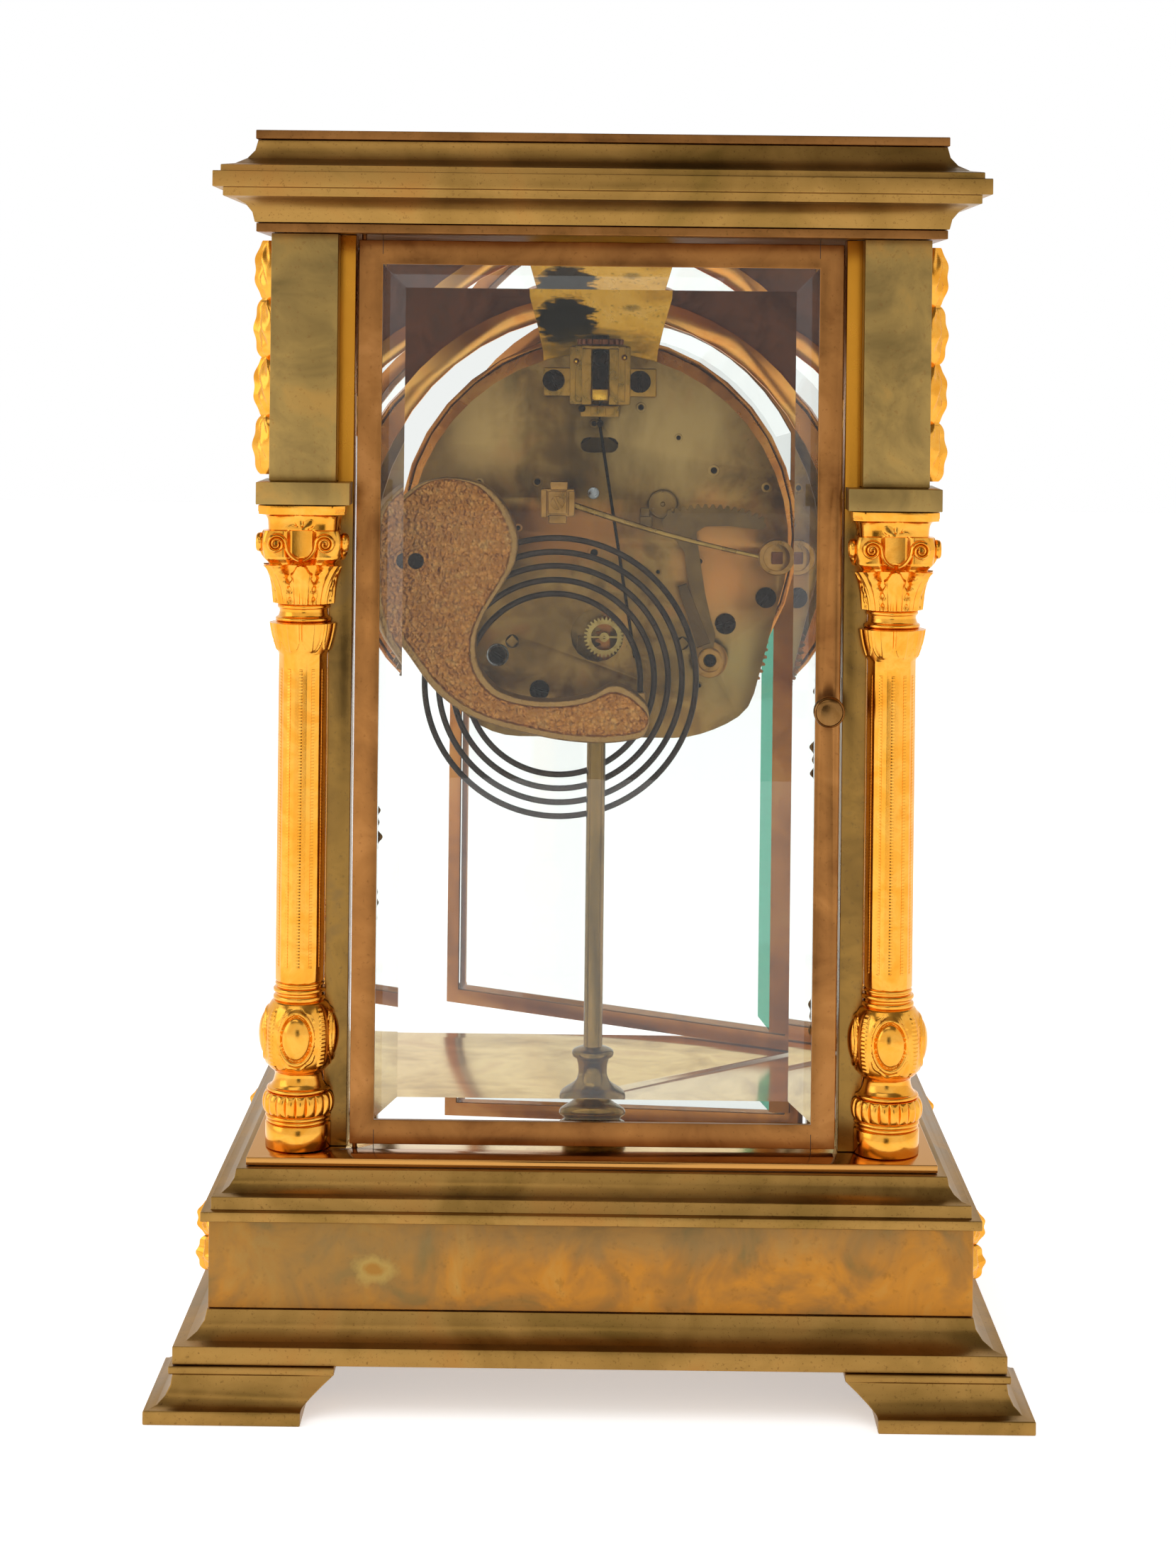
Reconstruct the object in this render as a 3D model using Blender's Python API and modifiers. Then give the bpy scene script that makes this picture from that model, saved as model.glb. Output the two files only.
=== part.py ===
# Crystal regulator clock: a brass and glass case on a moulded base, four gilt columns, two bevelled
# glass doors, and a striking movement with its rack, hammer and spiral gong in full view.
# The dial faces -Y, the rear door faces +Y. Lengths are in metres, +Z is up, Z is zero under the feet.

from math import acos, asin, atan2, ceil, copysign, cos, hypot, pi, radians, sin, sqrt

import bmesh
import bpy
import numpy as np
from mathutils import Matrix

# Clearances
seat_gap = 0.0003
running_gap = 0.0005
overrun = 0.002
weld_distance = 0.000001

# Case: plan of the floor plate, from which every moulding reaches out
case_half_width = 0.1268
case_half_depth = 0.1000
floor_thickness = 0.0029
architrave_thickness = 0.0032
top_thickness = 0.0033
top_reach = 0.0004
sheet_wall = 0.0030

# Bracket feet
foot_height = 0.0182
foot_reach = 0.0321
foot_plate_reach = 0.0243
foot_plate_thickness = 0.0028
foot_fillet_height = 0.0050
foot_length = 0.0561
foot_plate_length = 0.0595
foot_arm = 0.0210

# Base mouldings
lower_moulding_height = 0.0166
lower_fillet_height = 0.0065
lower_fillet_reach = 0.0230
frieze_height = 0.0316
frieze_reach = 0.0118
upper_moulding_height = 0.0163
upper_fillet_height = 0.0035
upper_fillet_reach = 0.0146
upper_step_height = 0.0046
upper_step_reach = 0.0112
upper_neck_reach = 0.0032

# Columns
column_inset = 0.0174
column_height = 0.2387
column_segments = 24
drum_radius = 0.0124
drum_height = 0.0142
gadroon_radius = 0.0134
gadroon_height = 0.0108
bulb_radius = 0.0140
bulb_height = 0.0350
shaft_radius = 0.0089
flute_depth = 0.0011
collar_radius = 0.0120
collar_height = 0.0120
capital_radius = 0.0122
capital_height = 0.0405
volute_reach = 0.0040
capital_abacus_half = 0.0163
capital_abacus_height = 0.0042

# Piers above the columns
pier_height = 0.0998
pier_half = 0.0123
pier_groove = 0.0004
abacus_height = 0.0082
abacus_outer_reach = 0.0166
abacus_inner_reach = 0.0178
mount_width = 0.0150
mount_height = 0.0870
mount_thickness = 0.0036

# Cornice
cornice_foot_reach = 0.0006
cornice_cavetto_height = 0.0090
cornice_thin_height = 0.0032
cornice_thin_reach = 0.0110
cornice_wide_height = 0.0058
cornice_wide_reach = 0.0144
crown_step_height = 0.0024
crown_step_reach = 0.0118
crown_cavetto_height = 0.0098

# Corner posts and side glasses
post_inset = 0.0355
post_inner = case_half_width - post_inset
post_width = 0.0088
post_setback = 0.0160
post_outer_face = case_half_depth - post_setback
post_depth = 0.0100
groove_depth = 0.0030
groove_offset = 0.0026
glass_thickness = 0.0030
glass_edge = 0.0016
glass_bevel = 0.0079

# Rear door
rear_side_gap = 0.0013
rear_half_width = post_inner - rear_side_gap
rear_bottom_gap = 0.0019
rear_top_gap = 0.0021
rear_setback = 0.0130
rear_outer_face = case_half_depth - rear_setback
rear_thickness = 0.0060
rear_stile = 0.0089
rebate_width = 0.0020
rebate_depth = 0.0036
rear_axis_from_edge = 0.0018
rear_axis_from_face = 0.0020
pin_radius = 0.0009
pin_length = 0.0020
knob_height = 0.1650
knob_radius = 0.0057
knob_reach = 0.0100
knob_neck_radius = 0.0026
knob_shank_radius = 0.0017
latch_length = 0.0110
latch_width = 0.0040
latch_thickness = 0.0012

# Front door and the arched surround behind it
front_side_gap = 0.0027
front_half_width = post_inner - front_side_gap
front_bottom_gap = 0.0006
front_setback = 0.0244
front_outer_face = case_half_depth - front_setback
front_thickness = 0.0053
front_stile = 0.0082
front_axis_from_edge = 0.0022
front_axis_from_face = 0.0026
front_ajar = radians(30)
arch_overreach = 0.0124
door_arch_radius = front_half_width + arch_overreach
arch_clearance = 0.0020
relief_rise = 0.0057
hinge_relief = sqrt(door_arch_radius ** 2 - (front_half_width - front_axis_from_edge) ** 2) + relief_rise
band_top_gap = 0.0175
band_overreach = 0.0047
band_width = 0.0090
band_inner_radius = post_inner + band_overreach
band_outer_radius = band_inner_radius + band_width
band_thickness = 0.0034
spandrel_thickness = 0.0062
arch_steps = 18
pull_radius = 0.0042
pull_reach = 0.0090

# Movement: the dial centre is the origin of its plan, with X to the right and Z up
movement_drop = 0.0171
movement_height = column_height - movement_drop
plate_radius = 0.0748
plate_thickness = 0.0020
back_plate_face = 0.0200
plate_spacing = 0.0320
lobe_offset = 0.0304
lobe_drop = 0.0457
lobe_radius = 0.0307
pillar_radius = 0.0030
pillar_places = ((0.0656, -0.0215), (0.0440, 0.0480))
window_radius = 0.0105
window_drop = 0.0363
slot_length = 0.0150
slot_width = 0.0060
slot_rise = 0.0385

# Trains
great_place = (0.0335, -0.0391)
escape_rise = 0.0195
gathering_place = (-0.0251, 0.0156)
great_teeth = 64
second_teeth = 48
centre_teeth = 54
third_teeth = 48
escape_teeth = 30
pinion_leaves = 8
great_module = 0.00100
second_module = 0.00073
centre_module = 0.00060
third_module = 0.00056
addendum_share = 0.75
dedendum_share = 1.15
wheel_thickness = 0.0015
great_thickness = 0.0020
pinion_width = 0.0040
arbor_radius = 0.0012
winding_radius = 0.0024
winding_reach = 0.0180
barrel_radius = 0.0260
barrel_width = 0.0140
escape_radius = 0.0140
escape_tooth_depth = 0.0020
great_level = 0.0050
second_level = 0.0240
centre_level = 0.0100
third_level = 0.0180
escape_level = 0.0290

# Dial, bezel and hands
dial_side_gap = 0.0113
dial_radius = post_inner - dial_side_gap
dial_thickness = 0.0020
dial_steps = 36
dial_gap = 0.0210
dial_foot_radius = 0.0020
dial_foot_place = (0.0500, 0.0150)
dial_bore = 0.0042
key_hole_radius = 0.0032
bezel_cover = 0.0060
bezel_inner_radius = dial_radius - bezel_cover
bezel_wall = 0.0020
bezel_depth = 0.0092
bezel_lip = 0.0048
hour_pipe_radius = 0.0030
hour_pipe_bore = 0.0018
hour_wheel_radius = 0.0120
hour_hand_length = 0.0430
hour_hand_width = 0.0080
minute_hand_gap = 0.0160
minute_hand_length = dial_radius - minute_hand_gap
minute_hand_width = 0.0060
hand_thickness = 0.0008
boss_opening = radians(20)
hand_clear = 0.0030
hand_spacing = 0.0022
hour_angle = radians(-53)
minute_angle = radians(60)

# Suspension, crutch and pallets
cock_half_width = 0.0222
cock_foot_height = 0.0100
cock_foot_thickness = 0.0026
cock_rise = 0.0581
cock_block_half = 0.0071
cock_block_height = 0.0279
cock_block_drop = 0.0084
cock_block_depth = 0.0146
rating_radius = 0.0091
rating_thickness = 0.0022
rating_teeth = 20
rating_root_share = 0.88
rating_stem_radius = 0.0016
rating_stem_length = 0.0100
spring_half_width = 0.0030
spring_thickness = 0.0010
spring_height = 0.0190
spring_nut_radius = 0.0031
spring_nut_height = 0.0042
spring_gap = 0.0010
pallet_rise = 0.0469
pallet_clearance = 0.0010
pallet_angle = radians(40)
pallet_width = 0.0030
crutch_reach = 0.0085
crutch_wire_radius = 0.0007
crutch_sweep = 0.0145
crutch_drop = 0.0900
crutch_hook = 0.0050

# Striking work outside the back plate
gathering_ring_radius = 0.0056
gathering_ring_thickness = 0.0015
gathering_ring_gap = 0.0009
gathering_pin_radius = 0.0006
gathering_pin_circle = 0.0043
gathering_pin_length = 0.0024
rack_place = (-0.0441, -0.0450)
rack_radius = 0.0576
rack_rim = 0.0062
rack_tooth_depth = 0.0016
rack_teeth = 14
rack_start = radians(78)
rack_end = radians(111)
rack_thickness = 0.0016
rack_offset = 0.0030
rack_boss_radius = 0.0048
rack_hub_radius = 0.0043
rack_hub_length = 0.0068
rack_arm_half = 0.0028
rack_pin_radius = 0.0015
hammer_place = (-0.0688, -0.0034)
hammer_arbor_radius = 0.0020
hammer_collet_radius = 0.0069
hammer_collet_width = 0.0036
hammer_rod_radius = 0.0009
hammer_head_place = (0.0159, 0.0172)
hammer_head_half_width = 0.0060
hammer_head_height = 0.0160
hammer_head_depth = 0.0130
hammer_head_near_share = 0.65
hammer_offset = 0.0220

# Gong
gong_plane = 0.0480
gong_place = (0.0154, -0.0512)
gong_outer_radius = 0.0550
gong_pitch = 0.00535
gong_turns = 4.3
gong_turn_points = 24
gong_wire_radius = 0.00115
gong_lead_length = 0.0040
gong_block_height = 0.1000
gong_block_left = -0.0200
gong_block_side_gap = 0.0100
gong_block_width = post_inner - gong_block_side_gap - gong_block_left
gong_block_bottom = -0.0734
gong_block_thickness = 0.0120
gong_block_rim = 0.0028
gong_block_recess = 0.0006
gong_screw_radius = 0.0033
gong_screw_from_edge = 0.0121
gong_screw_place = (gong_block_left + gong_block_width - gong_screw_from_edge, -0.0050)
gong_collet_half = 0.0020
gong_collet_height = 0.0060
gong_rod_radius = 0.00355
gong_base_radius = 0.0126
gong_base_height = 0.0314
gong_rod_depth = 0.0540
underside_share = 0.10

# Hanger bracket between the case top and the movement
hanger_top_half = 0.0278
hanger_waist_half = 0.0218
hanger_thickness = 0.0024
hanger_flange_depth = 0.0200
hanger_flange_thickness = 0.0024
hanger_flange_half = 0.0266
hanger_lap = 0.0100

# Heights of the stack, each piece resting on the one below
lower_moulding_z = foot_height + seat_gap
frieze_z = lower_moulding_z + lower_moulding_height + seat_gap
upper_moulding_z = frieze_z + frieze_height + seat_gap
floor_z = upper_moulding_z + upper_moulding_height + seat_gap
floor_top = floor_z + floor_thickness
column_z = floor_top + seat_gap
pier_z = column_z + column_height + seat_gap
architrave_z = pier_z + pier_height + seat_gap
cornice_z = architrave_z + architrave_thickness + seat_gap
cornice_height = (cornice_cavetto_height + cornice_thin_height + cornice_wide_height
                  + crown_step_height + crown_cavetto_height)
top_z = cornice_z + cornice_height + seat_gap
room_top = architrave_z - seat_gap

# Places that several pieces share
column_x = case_half_width - column_inset
column_y = case_half_depth - column_inset
notch = (post_inner + post_width + seat_gap - column_x, post_outer_face + seat_gap - column_y)
movement_z = floor_top + movement_height
arch_z = room_top - band_top_gap - band_outer_radius
back_plate_front = back_plate_face - plate_thickness
front_plate_back = back_plate_front - plate_spacing
front_plate_face = front_plate_back - plate_thickness
dial_back = front_plate_face - dial_gap
dial_face = dial_back - dial_thickness
rear_axis = (rear_half_width - rear_axis_from_edge, rear_outer_face - rear_axis_from_face)
front_axis = (front_axis_from_edge - front_half_width, front_axis_from_face - front_outer_face)
door_reach = front_half_width - front_axis[0]
door_front = max(door_reach * sin(front_ajar) + front_axis_from_face * cos(front_ajar),
                 (door_reach - front_stile / 2) * sin(front_ajar)
                 + (front_axis_from_face + pull_reach) * cos(front_ajar)
                 + pull_radius * sin(front_ajar)) - front_axis[1]
stand_shift = (door_front - case_half_depth - foot_reach) / 2


def clear_scene():
    for old in list(bpy.data.objects):
        bpy.data.objects.remove(old)


def new_collection(name):
    collection = bpy.data.collections.new(name)
    bpy.context.scene.collection.children.link(collection)
    return collection


def new_material(name, colour, roughness, metallic, alpha=1.0):
    material = bpy.data.materials.new(name)
    material.use_nodes = True
    shader = material.node_tree.nodes["Principled BSDF"]
    shader.inputs["Base Color"].default_value = (*colour, 1.0)
    shader.inputs["Roughness"].default_value = roughness
    shader.inputs["Metallic"].default_value = metallic
    shader.inputs["Alpha"].default_value = alpha
    return material


clear_scene()
clock_parts = new_collection("crystal_regulator_clock")
cutters = new_collection("cutters")
aged_brass = new_material("aged_brass", (0.26, 0.19, 0.07), 0.42, 1.0)
copper_brass = new_material("copper_brass", (0.36, 0.16, 0.06), 0.38, 1.0)
yellow_brass = new_material("yellow_brass", (0.56, 0.33, 0.06), 0.35, 1.0)
gilt = new_material("gilt", (0.95, 0.42, 0.08), 0.22, 1.0)
plate_brass = new_material("plate_brass", (0.42, 0.30, 0.11), 0.36, 1.0)
dark_bronze = new_material("dark_bronze", (0.10, 0.05, 0.035), 0.45, 1.0)
gong_gold = new_material("gong_gold", (0.50, 0.30, 0.07), 0.55, 1.0)
blued_steel = new_material("blued_steel", (0.06, 0.06, 0.07), 0.35, 1.0)
bright_steel = new_material("bright_steel", (0.50, 0.50, 0.52), 0.30, 1.0)
enamel = new_material("enamel", (0.86, 0.84, 0.76), 0.25, 0.0)
clear_glass = new_material("clear_glass", (0.90, 0.96, 0.93), 0.02, 0.0, 0.25)


def link(obj, material, collection=clock_parts):
    collection.objects.link(obj)
    if not obj.data.materials:
        obj.data.materials.append(material)
    return obj


def smooth(mesh, angle=radians(35)):
    mesh.shade_smooth()
    mesh.set_sharp_from_angle(angle=angle)


def mesh_object(name, shape, material):
    """Turns a bmesh into an object with outward faces, smooth where it is round."""
    bmesh.ops.recalc_face_normals(shape, faces=shape.faces)
    mesh = bpy.data.meshes.new(name)
    shape.to_mesh(mesh)
    shape.free()
    smooth(mesh)
    return link(bpy.data.objects.new(name, mesh), material)


def lofted(name, rings, material, ring_closed=False):
    """Skins rings of equal point counts, capped at both ends or joined last to first."""
    shape = bmesh.new()
    loops = [[shape.verts.new(point) for point in ring] for ring in rings]
    pairs = list(zip(loops, loops[1:]))
    if ring_closed:
        pairs.append((loops[-1], loops[0]))
    else:
        shape.faces.new(loops[0])
        shape.faces.new(loops[-1])
    for low, high in pairs:
        for at in range(len(low)):
            after = (at + 1) % len(low)
            shape.faces.new((low[at], low[after], high[after], high[at]))
    return mesh_object(name, shape, material)


def flat(name, outlines, near, far, material):
    """A flat piece facing along Y: its outline, then any holes, as X and Z, from near to far in Y."""
    curve = bpy.data.curves.new(name, "CURVE")
    curve.dimensions = "2D"
    curve.fill_mode = "BOTH"
    curve.extrude = (far - near) / 2
    for outline in outlines:
        spline = curve.splines.new("POLY")
        spline.points.add(len(outline) - 1)
        for point, (x, z) in zip(spline.points, outline):
            point.co = (x, z, 0, 1)
        spline.use_cyclic_u = True
    obj = link(bpy.data.objects.new(name, curve), material)
    obj.rotation_euler.x = pi / 2
    obj.location.y = (near + far) / 2
    return as_mesh(obj)


def slab(name, outlines, low, high, material):
    """A flat piece lying level: its outline, then any holes, as X and Y, from low to high in Z."""
    obj = flat(name, outlines, low, high, material)
    obj.data.transform(obj.matrix_world)
    obj.data.transform(Matrix.Rotation(-pi / 2, 4, "X"))
    obj.data.transform(Matrix.Translation((0, 0, low + high)))
    obj.matrix_world = Matrix()
    return obj


def as_mesh(obj):
    """The evaluated object as a welded mesh in the object's place."""
    bpy.context.view_layer.update()
    evaluated = obj.evaluated_get(bpy.context.evaluated_depsgraph_get())
    mesh = bpy.data.meshes.new_from_object(evaluated)
    shape = bmesh.new()
    shape.from_mesh(mesh)
    bmesh.ops.remove_doubles(shape, verts=shape.verts, dist=weld_distance)
    bmesh.ops.recalc_face_normals(shape, faces=shape.faces)
    shape.to_mesh(mesh)
    shape.free()
    smooth(mesh)
    name, place = obj.name, obj.matrix_world.copy()
    bpy.data.objects.remove(obj)
    solid = link(bpy.data.objects.new(name, mesh), None)
    solid.name = name
    solid.matrix_world = place
    return solid


def turned(name, profile, steps, material, axis="Z", ring=False):
    """Turns a profile of radius and height, listed top to bottom, about Z or Y."""
    mesh = bpy.data.meshes.new(name)
    edges = [(at, at + 1) for at in range(len(profile) - 1)]
    if ring:
        edges.append((len(profile) - 1, 0))
    mesh.from_pydata([(radius, 0, height) for radius, height in profile], edges, [])
    obj = link(bpy.data.objects.new(name, mesh), material)
    screw = obj.modifiers.new("turn", "SCREW")
    screw.steps = screw.render_steps = steps
    screw.use_merge_vertices = True
    screw.merge_threshold = weld_distance
    solid = as_mesh(obj)
    if axis == "Y":
        solid.data.transform(Matrix.Rotation(-pi / 2, 4, "X"))
    return solid


def rod(name, radius, near, far, place, material, sides=12):
    """A round bar along Y, from near to far, at place in X and Z."""
    shape = bmesh.new()
    bmesh.ops.create_cone(shape, cap_ends=True, segments=sides, radius1=radius, radius2=radius,
                          depth=far - near)
    turn = Matrix.Rotation(pi / 2, 4, "X")
    shift = Matrix.Translation((place[0], (near + far) / 2, place[1]))
    bmesh.ops.transform(shape, matrix=shift @ turn, verts=shape.verts)
    return mesh_object(name, shape, material)


def upright(name, radius, low, high, place, material, sides=12):
    """A round bar along Z, from low to high, at place in X and Y."""
    shape = bmesh.new()
    bmesh.ops.create_cone(shape, cap_ends=True, segments=sides, radius1=radius, radius2=radius,
                          depth=high - low)
    bmesh.ops.translate(shape, vec=(place[0], place[1], (low + high) / 2), verts=shape.verts)
    return mesh_object(name, shape, material)


def box(name, low, high, material):
    shape = bmesh.new()
    bmesh.ops.create_cube(shape, size=1.0)
    size = [b - a for a, b in zip(low, high)]
    middle = [(a + b) / 2 for a, b in zip(low, high)]
    bmesh.ops.scale(shape, vec=size, verts=shape.verts)
    bmesh.ops.translate(shape, vec=middle, verts=shape.verts)
    return mesh_object(name, shape, material)


def tube(name, points, radius, material, resolution=2):
    curve = bpy.data.curves.new(name, "CURVE")
    curve.dimensions = "3D"
    curve.bevel_depth = radius
    curve.bevel_resolution = resolution
    curve.use_fill_caps = True
    spline = curve.splines.new("POLY")
    spline.points.add(len(points) - 1)
    for point, place in zip(spline.points, points):
        point.co = (*place, 1)
    return as_mesh(link(bpy.data.objects.new(name, curve), material))


def boolean(obj, others, operation):
    """Joins the others to obj, or cuts them from it, and keeps the result as obj's own mesh."""
    name, material = obj.name, obj.data.materials[0]
    for at, other in enumerate(others):
        cutters.objects.link(other)
        clock_parts.objects.unlink(other)
        other.hide_render = True
        other.display_type = "WIRE"
        other.name = f"{name}_tool_{at}"
        step = obj.modifiers.new(other.name, "BOOLEAN")
        step.operation = operation
        step.solver = "EXACT"
        step.object = other
    solid = as_mesh(obj)
    for other in others:
        bpy.data.objects.remove(other)
    solid.name = name
    solid.data.materials.clear()
    solid.data.materials.append(material)
    return solid


def fused(obj, others):
    return boolean(obj, others, "UNION")


def cut(obj, others):
    return boolean(obj, others, "DIFFERENCE")


def carrier(name, place, turn=0.0):
    """An empty on a joint's axis."""
    empty = bpy.data.objects.new(name, None)
    clock_parts.objects.link(empty)
    empty.location = place
    empty["turn"] = turn
    return empty


def carry(parent, *children):
    """Hangs the children on the parent where they stand."""
    bpy.context.view_layer.update()
    for child in children:
        child.parent = parent
        child.matrix_parent_inverse = parent.matrix_world.inverted()


def arc(centre, radius, start, end, steps):
    return [(centre[0] + radius * cos(start + (end - start) * at / steps),
             centre[1] + radius * sin(start + (end - start) * at / steps)) for at in range(steps + 1)]


def circle(centre, radius, sides=12):
    return arc(centre, radius, 0, 2 * pi, sides)[:-1]


def rectangle(half_width, half_depth):
    return [(-half_width, -half_depth), (half_width, -half_depth),
            (half_width, half_depth), (-half_width, half_depth)]


def cavetto(start, end, steps=4, level_first=True):
    """A hollow quarter curve between two profile points, level at its start or at its end."""
    points = []
    for at in range(steps + 1):
        angle = pi / 2 * at / steps
        across, along = (sin(angle), 1 - cos(angle)) if level_first else (1 - cos(angle), sin(angle))
        points.append((start[0] + (end[0] - start[0]) * across, start[1] + (end[1] - start[1]) * along))
    return points


def frame_moulding(name, profile, material):
    """Carries a closed profile of reach and height round the case's rectangle, mitred at the corners."""
    rings = [[(x, y, height) for x, y in rectangle(case_half_width + reach, case_half_depth + reach)]
             for reach, height in profile]
    return lofted(name, rings, material, ring_closed=True)


def build_feet():
    """Bracket feet: an L in plan, hollowed outside and at the ends of both arms."""
    top = foot_height
    plate = top - foot_plate_thickness
    outer = [(foot_reach, 0), (foot_reach, foot_fillet_height)]
    outer += cavetto((foot_reach - foot_plate_thickness / 2, foot_fillet_height),
                     (foot_plate_reach - foot_plate_thickness / 2, plate))
    outer += [(foot_plate_reach, plate), (foot_plate_reach, top)]
    inner_low = foot_reach - foot_length
    inner_high = foot_plate_reach - foot_plate_length
    inner = [inner_low, inner_low]
    inner += [reach for reach, _ in cavetto((inner_low, foot_fillet_height), (inner_high, plate),
                                            level_first=False)]
    inner += [inner_high, inner_high]
    back = foot_plate_reach - foot_arm
    feet = []
    for side_x, end in ((1, "left"), (-1, "right")):
        for side_y, face in ((-1, "front"), (1, "rear")):
            rings = []
            for (out, height), inside in zip(outer, inner):
                plan = [(out, out), (inside, out), (inside, back), (back, back), (back, inside), (out, inside)]
                rings.append([(side_x * (case_half_width + a), side_y * (case_half_depth + b), height)
                              for a, b in plan])
            feet.append(lofted(f"foot_{face}_{end}", rings, aged_brass))
    return feet


def build_base():
    low = lower_moulding_z
    inner = frieze_reach - sheet_wall
    lower = [(inner, low), (lower_fillet_reach, low), (lower_fillet_reach, low + lower_fillet_height)]
    lower += cavetto((lower_fillet_reach - seat_gap, low + lower_fillet_height),
                     (frieze_reach + seat_gap, low + lower_moulding_height))
    lower.append((inner, low + lower_moulding_height))
    frieze = [(inner, frieze_z), (frieze_reach, frieze_z), (frieze_reach, frieze_z + frieze_height),
              (inner, frieze_z + frieze_height)]
    low = upper_moulding_z
    step = low + upper_fillet_height
    shoulder = step + upper_step_height
    top = low + upper_moulding_height
    upper = [(-sheet_wall, low), (upper_fillet_reach, low), (upper_fillet_reach, step),
             (upper_step_reach, step), (upper_step_reach, shoulder)]
    upper += cavetto((upper_step_reach - seat_gap, shoulder), (upper_neck_reach, top - seat_gap))
    upper += [(upper_neck_reach, top), (-sheet_wall, top)]
    return [frame_moulding("lower_moulding", lower, aged_brass),
            frame_moulding("frieze_box", frieze, aged_brass),
            frame_moulding("upper_moulding", upper, aged_brass)]


def build_floor():
    plan = rectangle(case_half_width, case_half_depth)
    rear_pin = circle(rear_axis, pin_radius + seat_gap)
    front_pin = circle(front_axis, pin_radius + seat_gap)
    return slab("floor_plate", [plan, rear_pin, front_pin], floor_z, floor_top, aged_brass)


def column_profile():
    """Rings of height, radius, lobe count and lobe depth, from the drum up to the square abacus."""
    drum_shares = ((0.0, 1.0), (0.92, 1.0), (1.0, 0.93))
    gadroon_shares = ((0.10, 0.88, 0.0), (0.40, 0.98, 0.05), (0.72, 0.96, 0.05), (0.98, 0.80, 0.0))
    bulb_shares = ((0.12, 0.64, 0.0), (0.30, 0.86, 0.04), (0.56, 0.95, 0.06), (0.84, 0.80, 0.03))
    collar_shares = ((0.04, 0.80, 0.0), (0.62, 0.92, 0.06), (0.78, 1.0, 0.0), (0.96, 0.74, 0.0))
    capital_shares = ((0.10, 0.66, 0.02, 0.0), (0.40, 0.92, 0.12, 0.0), (0.60, 0.90, 0.0, 0.4),
                      (0.80, 0.98, 0.0, 1.0), (0.96, 0.92, 0.0, 0.9))
    rings = [(share * drum_height, radius * drum_radius, 0, 0.0) for share, radius in drum_shares]
    base = drum_height
    gadroons = column_segments // 2
    rings += [(base + share * gadroon_height, radius * gadroon_radius, gadroons, lobe * gadroon_radius)
              for share, radius, lobe in gadroon_shares]
    base += gadroon_height
    cabochons = column_segments // 4
    rings += [(base + share * bulb_height, radius * bulb_radius, cabochons, lobe * bulb_radius)
              for share, radius, lobe in bulb_shares]
    base += bulb_height
    collar = column_height - capital_abacus_height - capital_height - collar_height
    rings += [(base, shaft_radius, 0, 0.0),
              (base + flute_depth, shaft_radius - flute_depth / 2, gadroons, flute_depth / 2),
              (collar - flute_depth, shaft_radius - flute_depth / 2, gadroons, flute_depth / 2),
              (collar, shaft_radius, 0, 0.0)]
    rings += [(collar + share * collar_height, radius * collar_radius, gadroons, lobe * collar_radius)
              for share, radius, lobe in collar_shares]
    capital = collar + collar_height
    for share, radius, leaf, volute in capital_shares:
        if volute:
            rings.append((capital + share * capital_height, radius * capital_radius, 4, volute * volute_reach))
        else:
            rings.append((capital + share * capital_height, radius * capital_radius, column_segments // 3,
                          leaf * capital_radius))
    return rings


def column_rings():
    rings = []
    for height, radius, lobes, depth in column_profile():
        corner_turn = pi / 4 if lobes == 4 else 0
        ring = []
        for at in range(column_segments):
            angle = 2 * pi * at / column_segments
            reach = radius + depth * cos(lobes * (angle - corner_turn))
            ring.append((reach * cos(angle), reach * sin(angle), height))
        rings.append(ring)
    for height in (column_height - capital_abacus_height, column_height):
        ring = []
        for at in range(column_segments):
            angle = 2 * pi * at / column_segments
            reach = capital_abacus_half / max(abs(cos(angle)), abs(sin(angle)))
            ring.append((reach * cos(angle), reach * sin(angle), height))
        rings.append(ring)
    return rings


def build_columns():
    """Four columns, each notched along its inner side where its wide parts meet the corner post."""
    columns = []
    rings = column_rings()
    for side_x, end in ((1, "left"), (-1, "right")):
        for side_y, face in ((-1, "front"), (1, "rear")):
            placed = [[(side_x * column_x + x, side_y * column_y + y, column_z + z) for x, y, z in ring]
                      for ring in rings]
            column = lofted(f"column_{face}_{end}", placed, gilt)
            reach = 2 * capital_abacus_half
            low, high = zip(*(sorted((side * (centre + edge), side * (centre - reach)))
                              for side, centre, edge in ((side_x, column_x, notch[0]),
                                                         (side_y, column_y, notch[1]))))
            corner = box("corner", (*low, column_z - overrun), (*high, column_z + column_height + overrun),
                         gilt)
            columns.append(cut(column, [corner]))
    return columns


def mount_outline(width, height):
    """A leafy plaque: its half width swells in five lobes and tapers to both ends."""
    lobe_shares = (0.30, 0.62, 0.46, 0.84, 0.60, 1.00, 0.64, 0.90, 0.50, 0.66, 0.34)
    last = len(lobe_shares) + 1
    right = [(width / 2 * share, height * (at + 1) / last) for at, share in enumerate(lobe_shares)]
    left = [(-x, z) for x, z in reversed(right)]
    return [(0, 0)] + right + [(0, height)] + left


def notched_square(outer, inner, relief=0.0):
    """A square about the column's axis, open at its inner corner for the post."""
    corner = (notch[0] + relief, notch[1] + relief)
    return [(outer, outer), (-inner, outer), (-inner, corner[1]), corner, (corner[0], -inner),
            (outer, -inner)]


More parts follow.
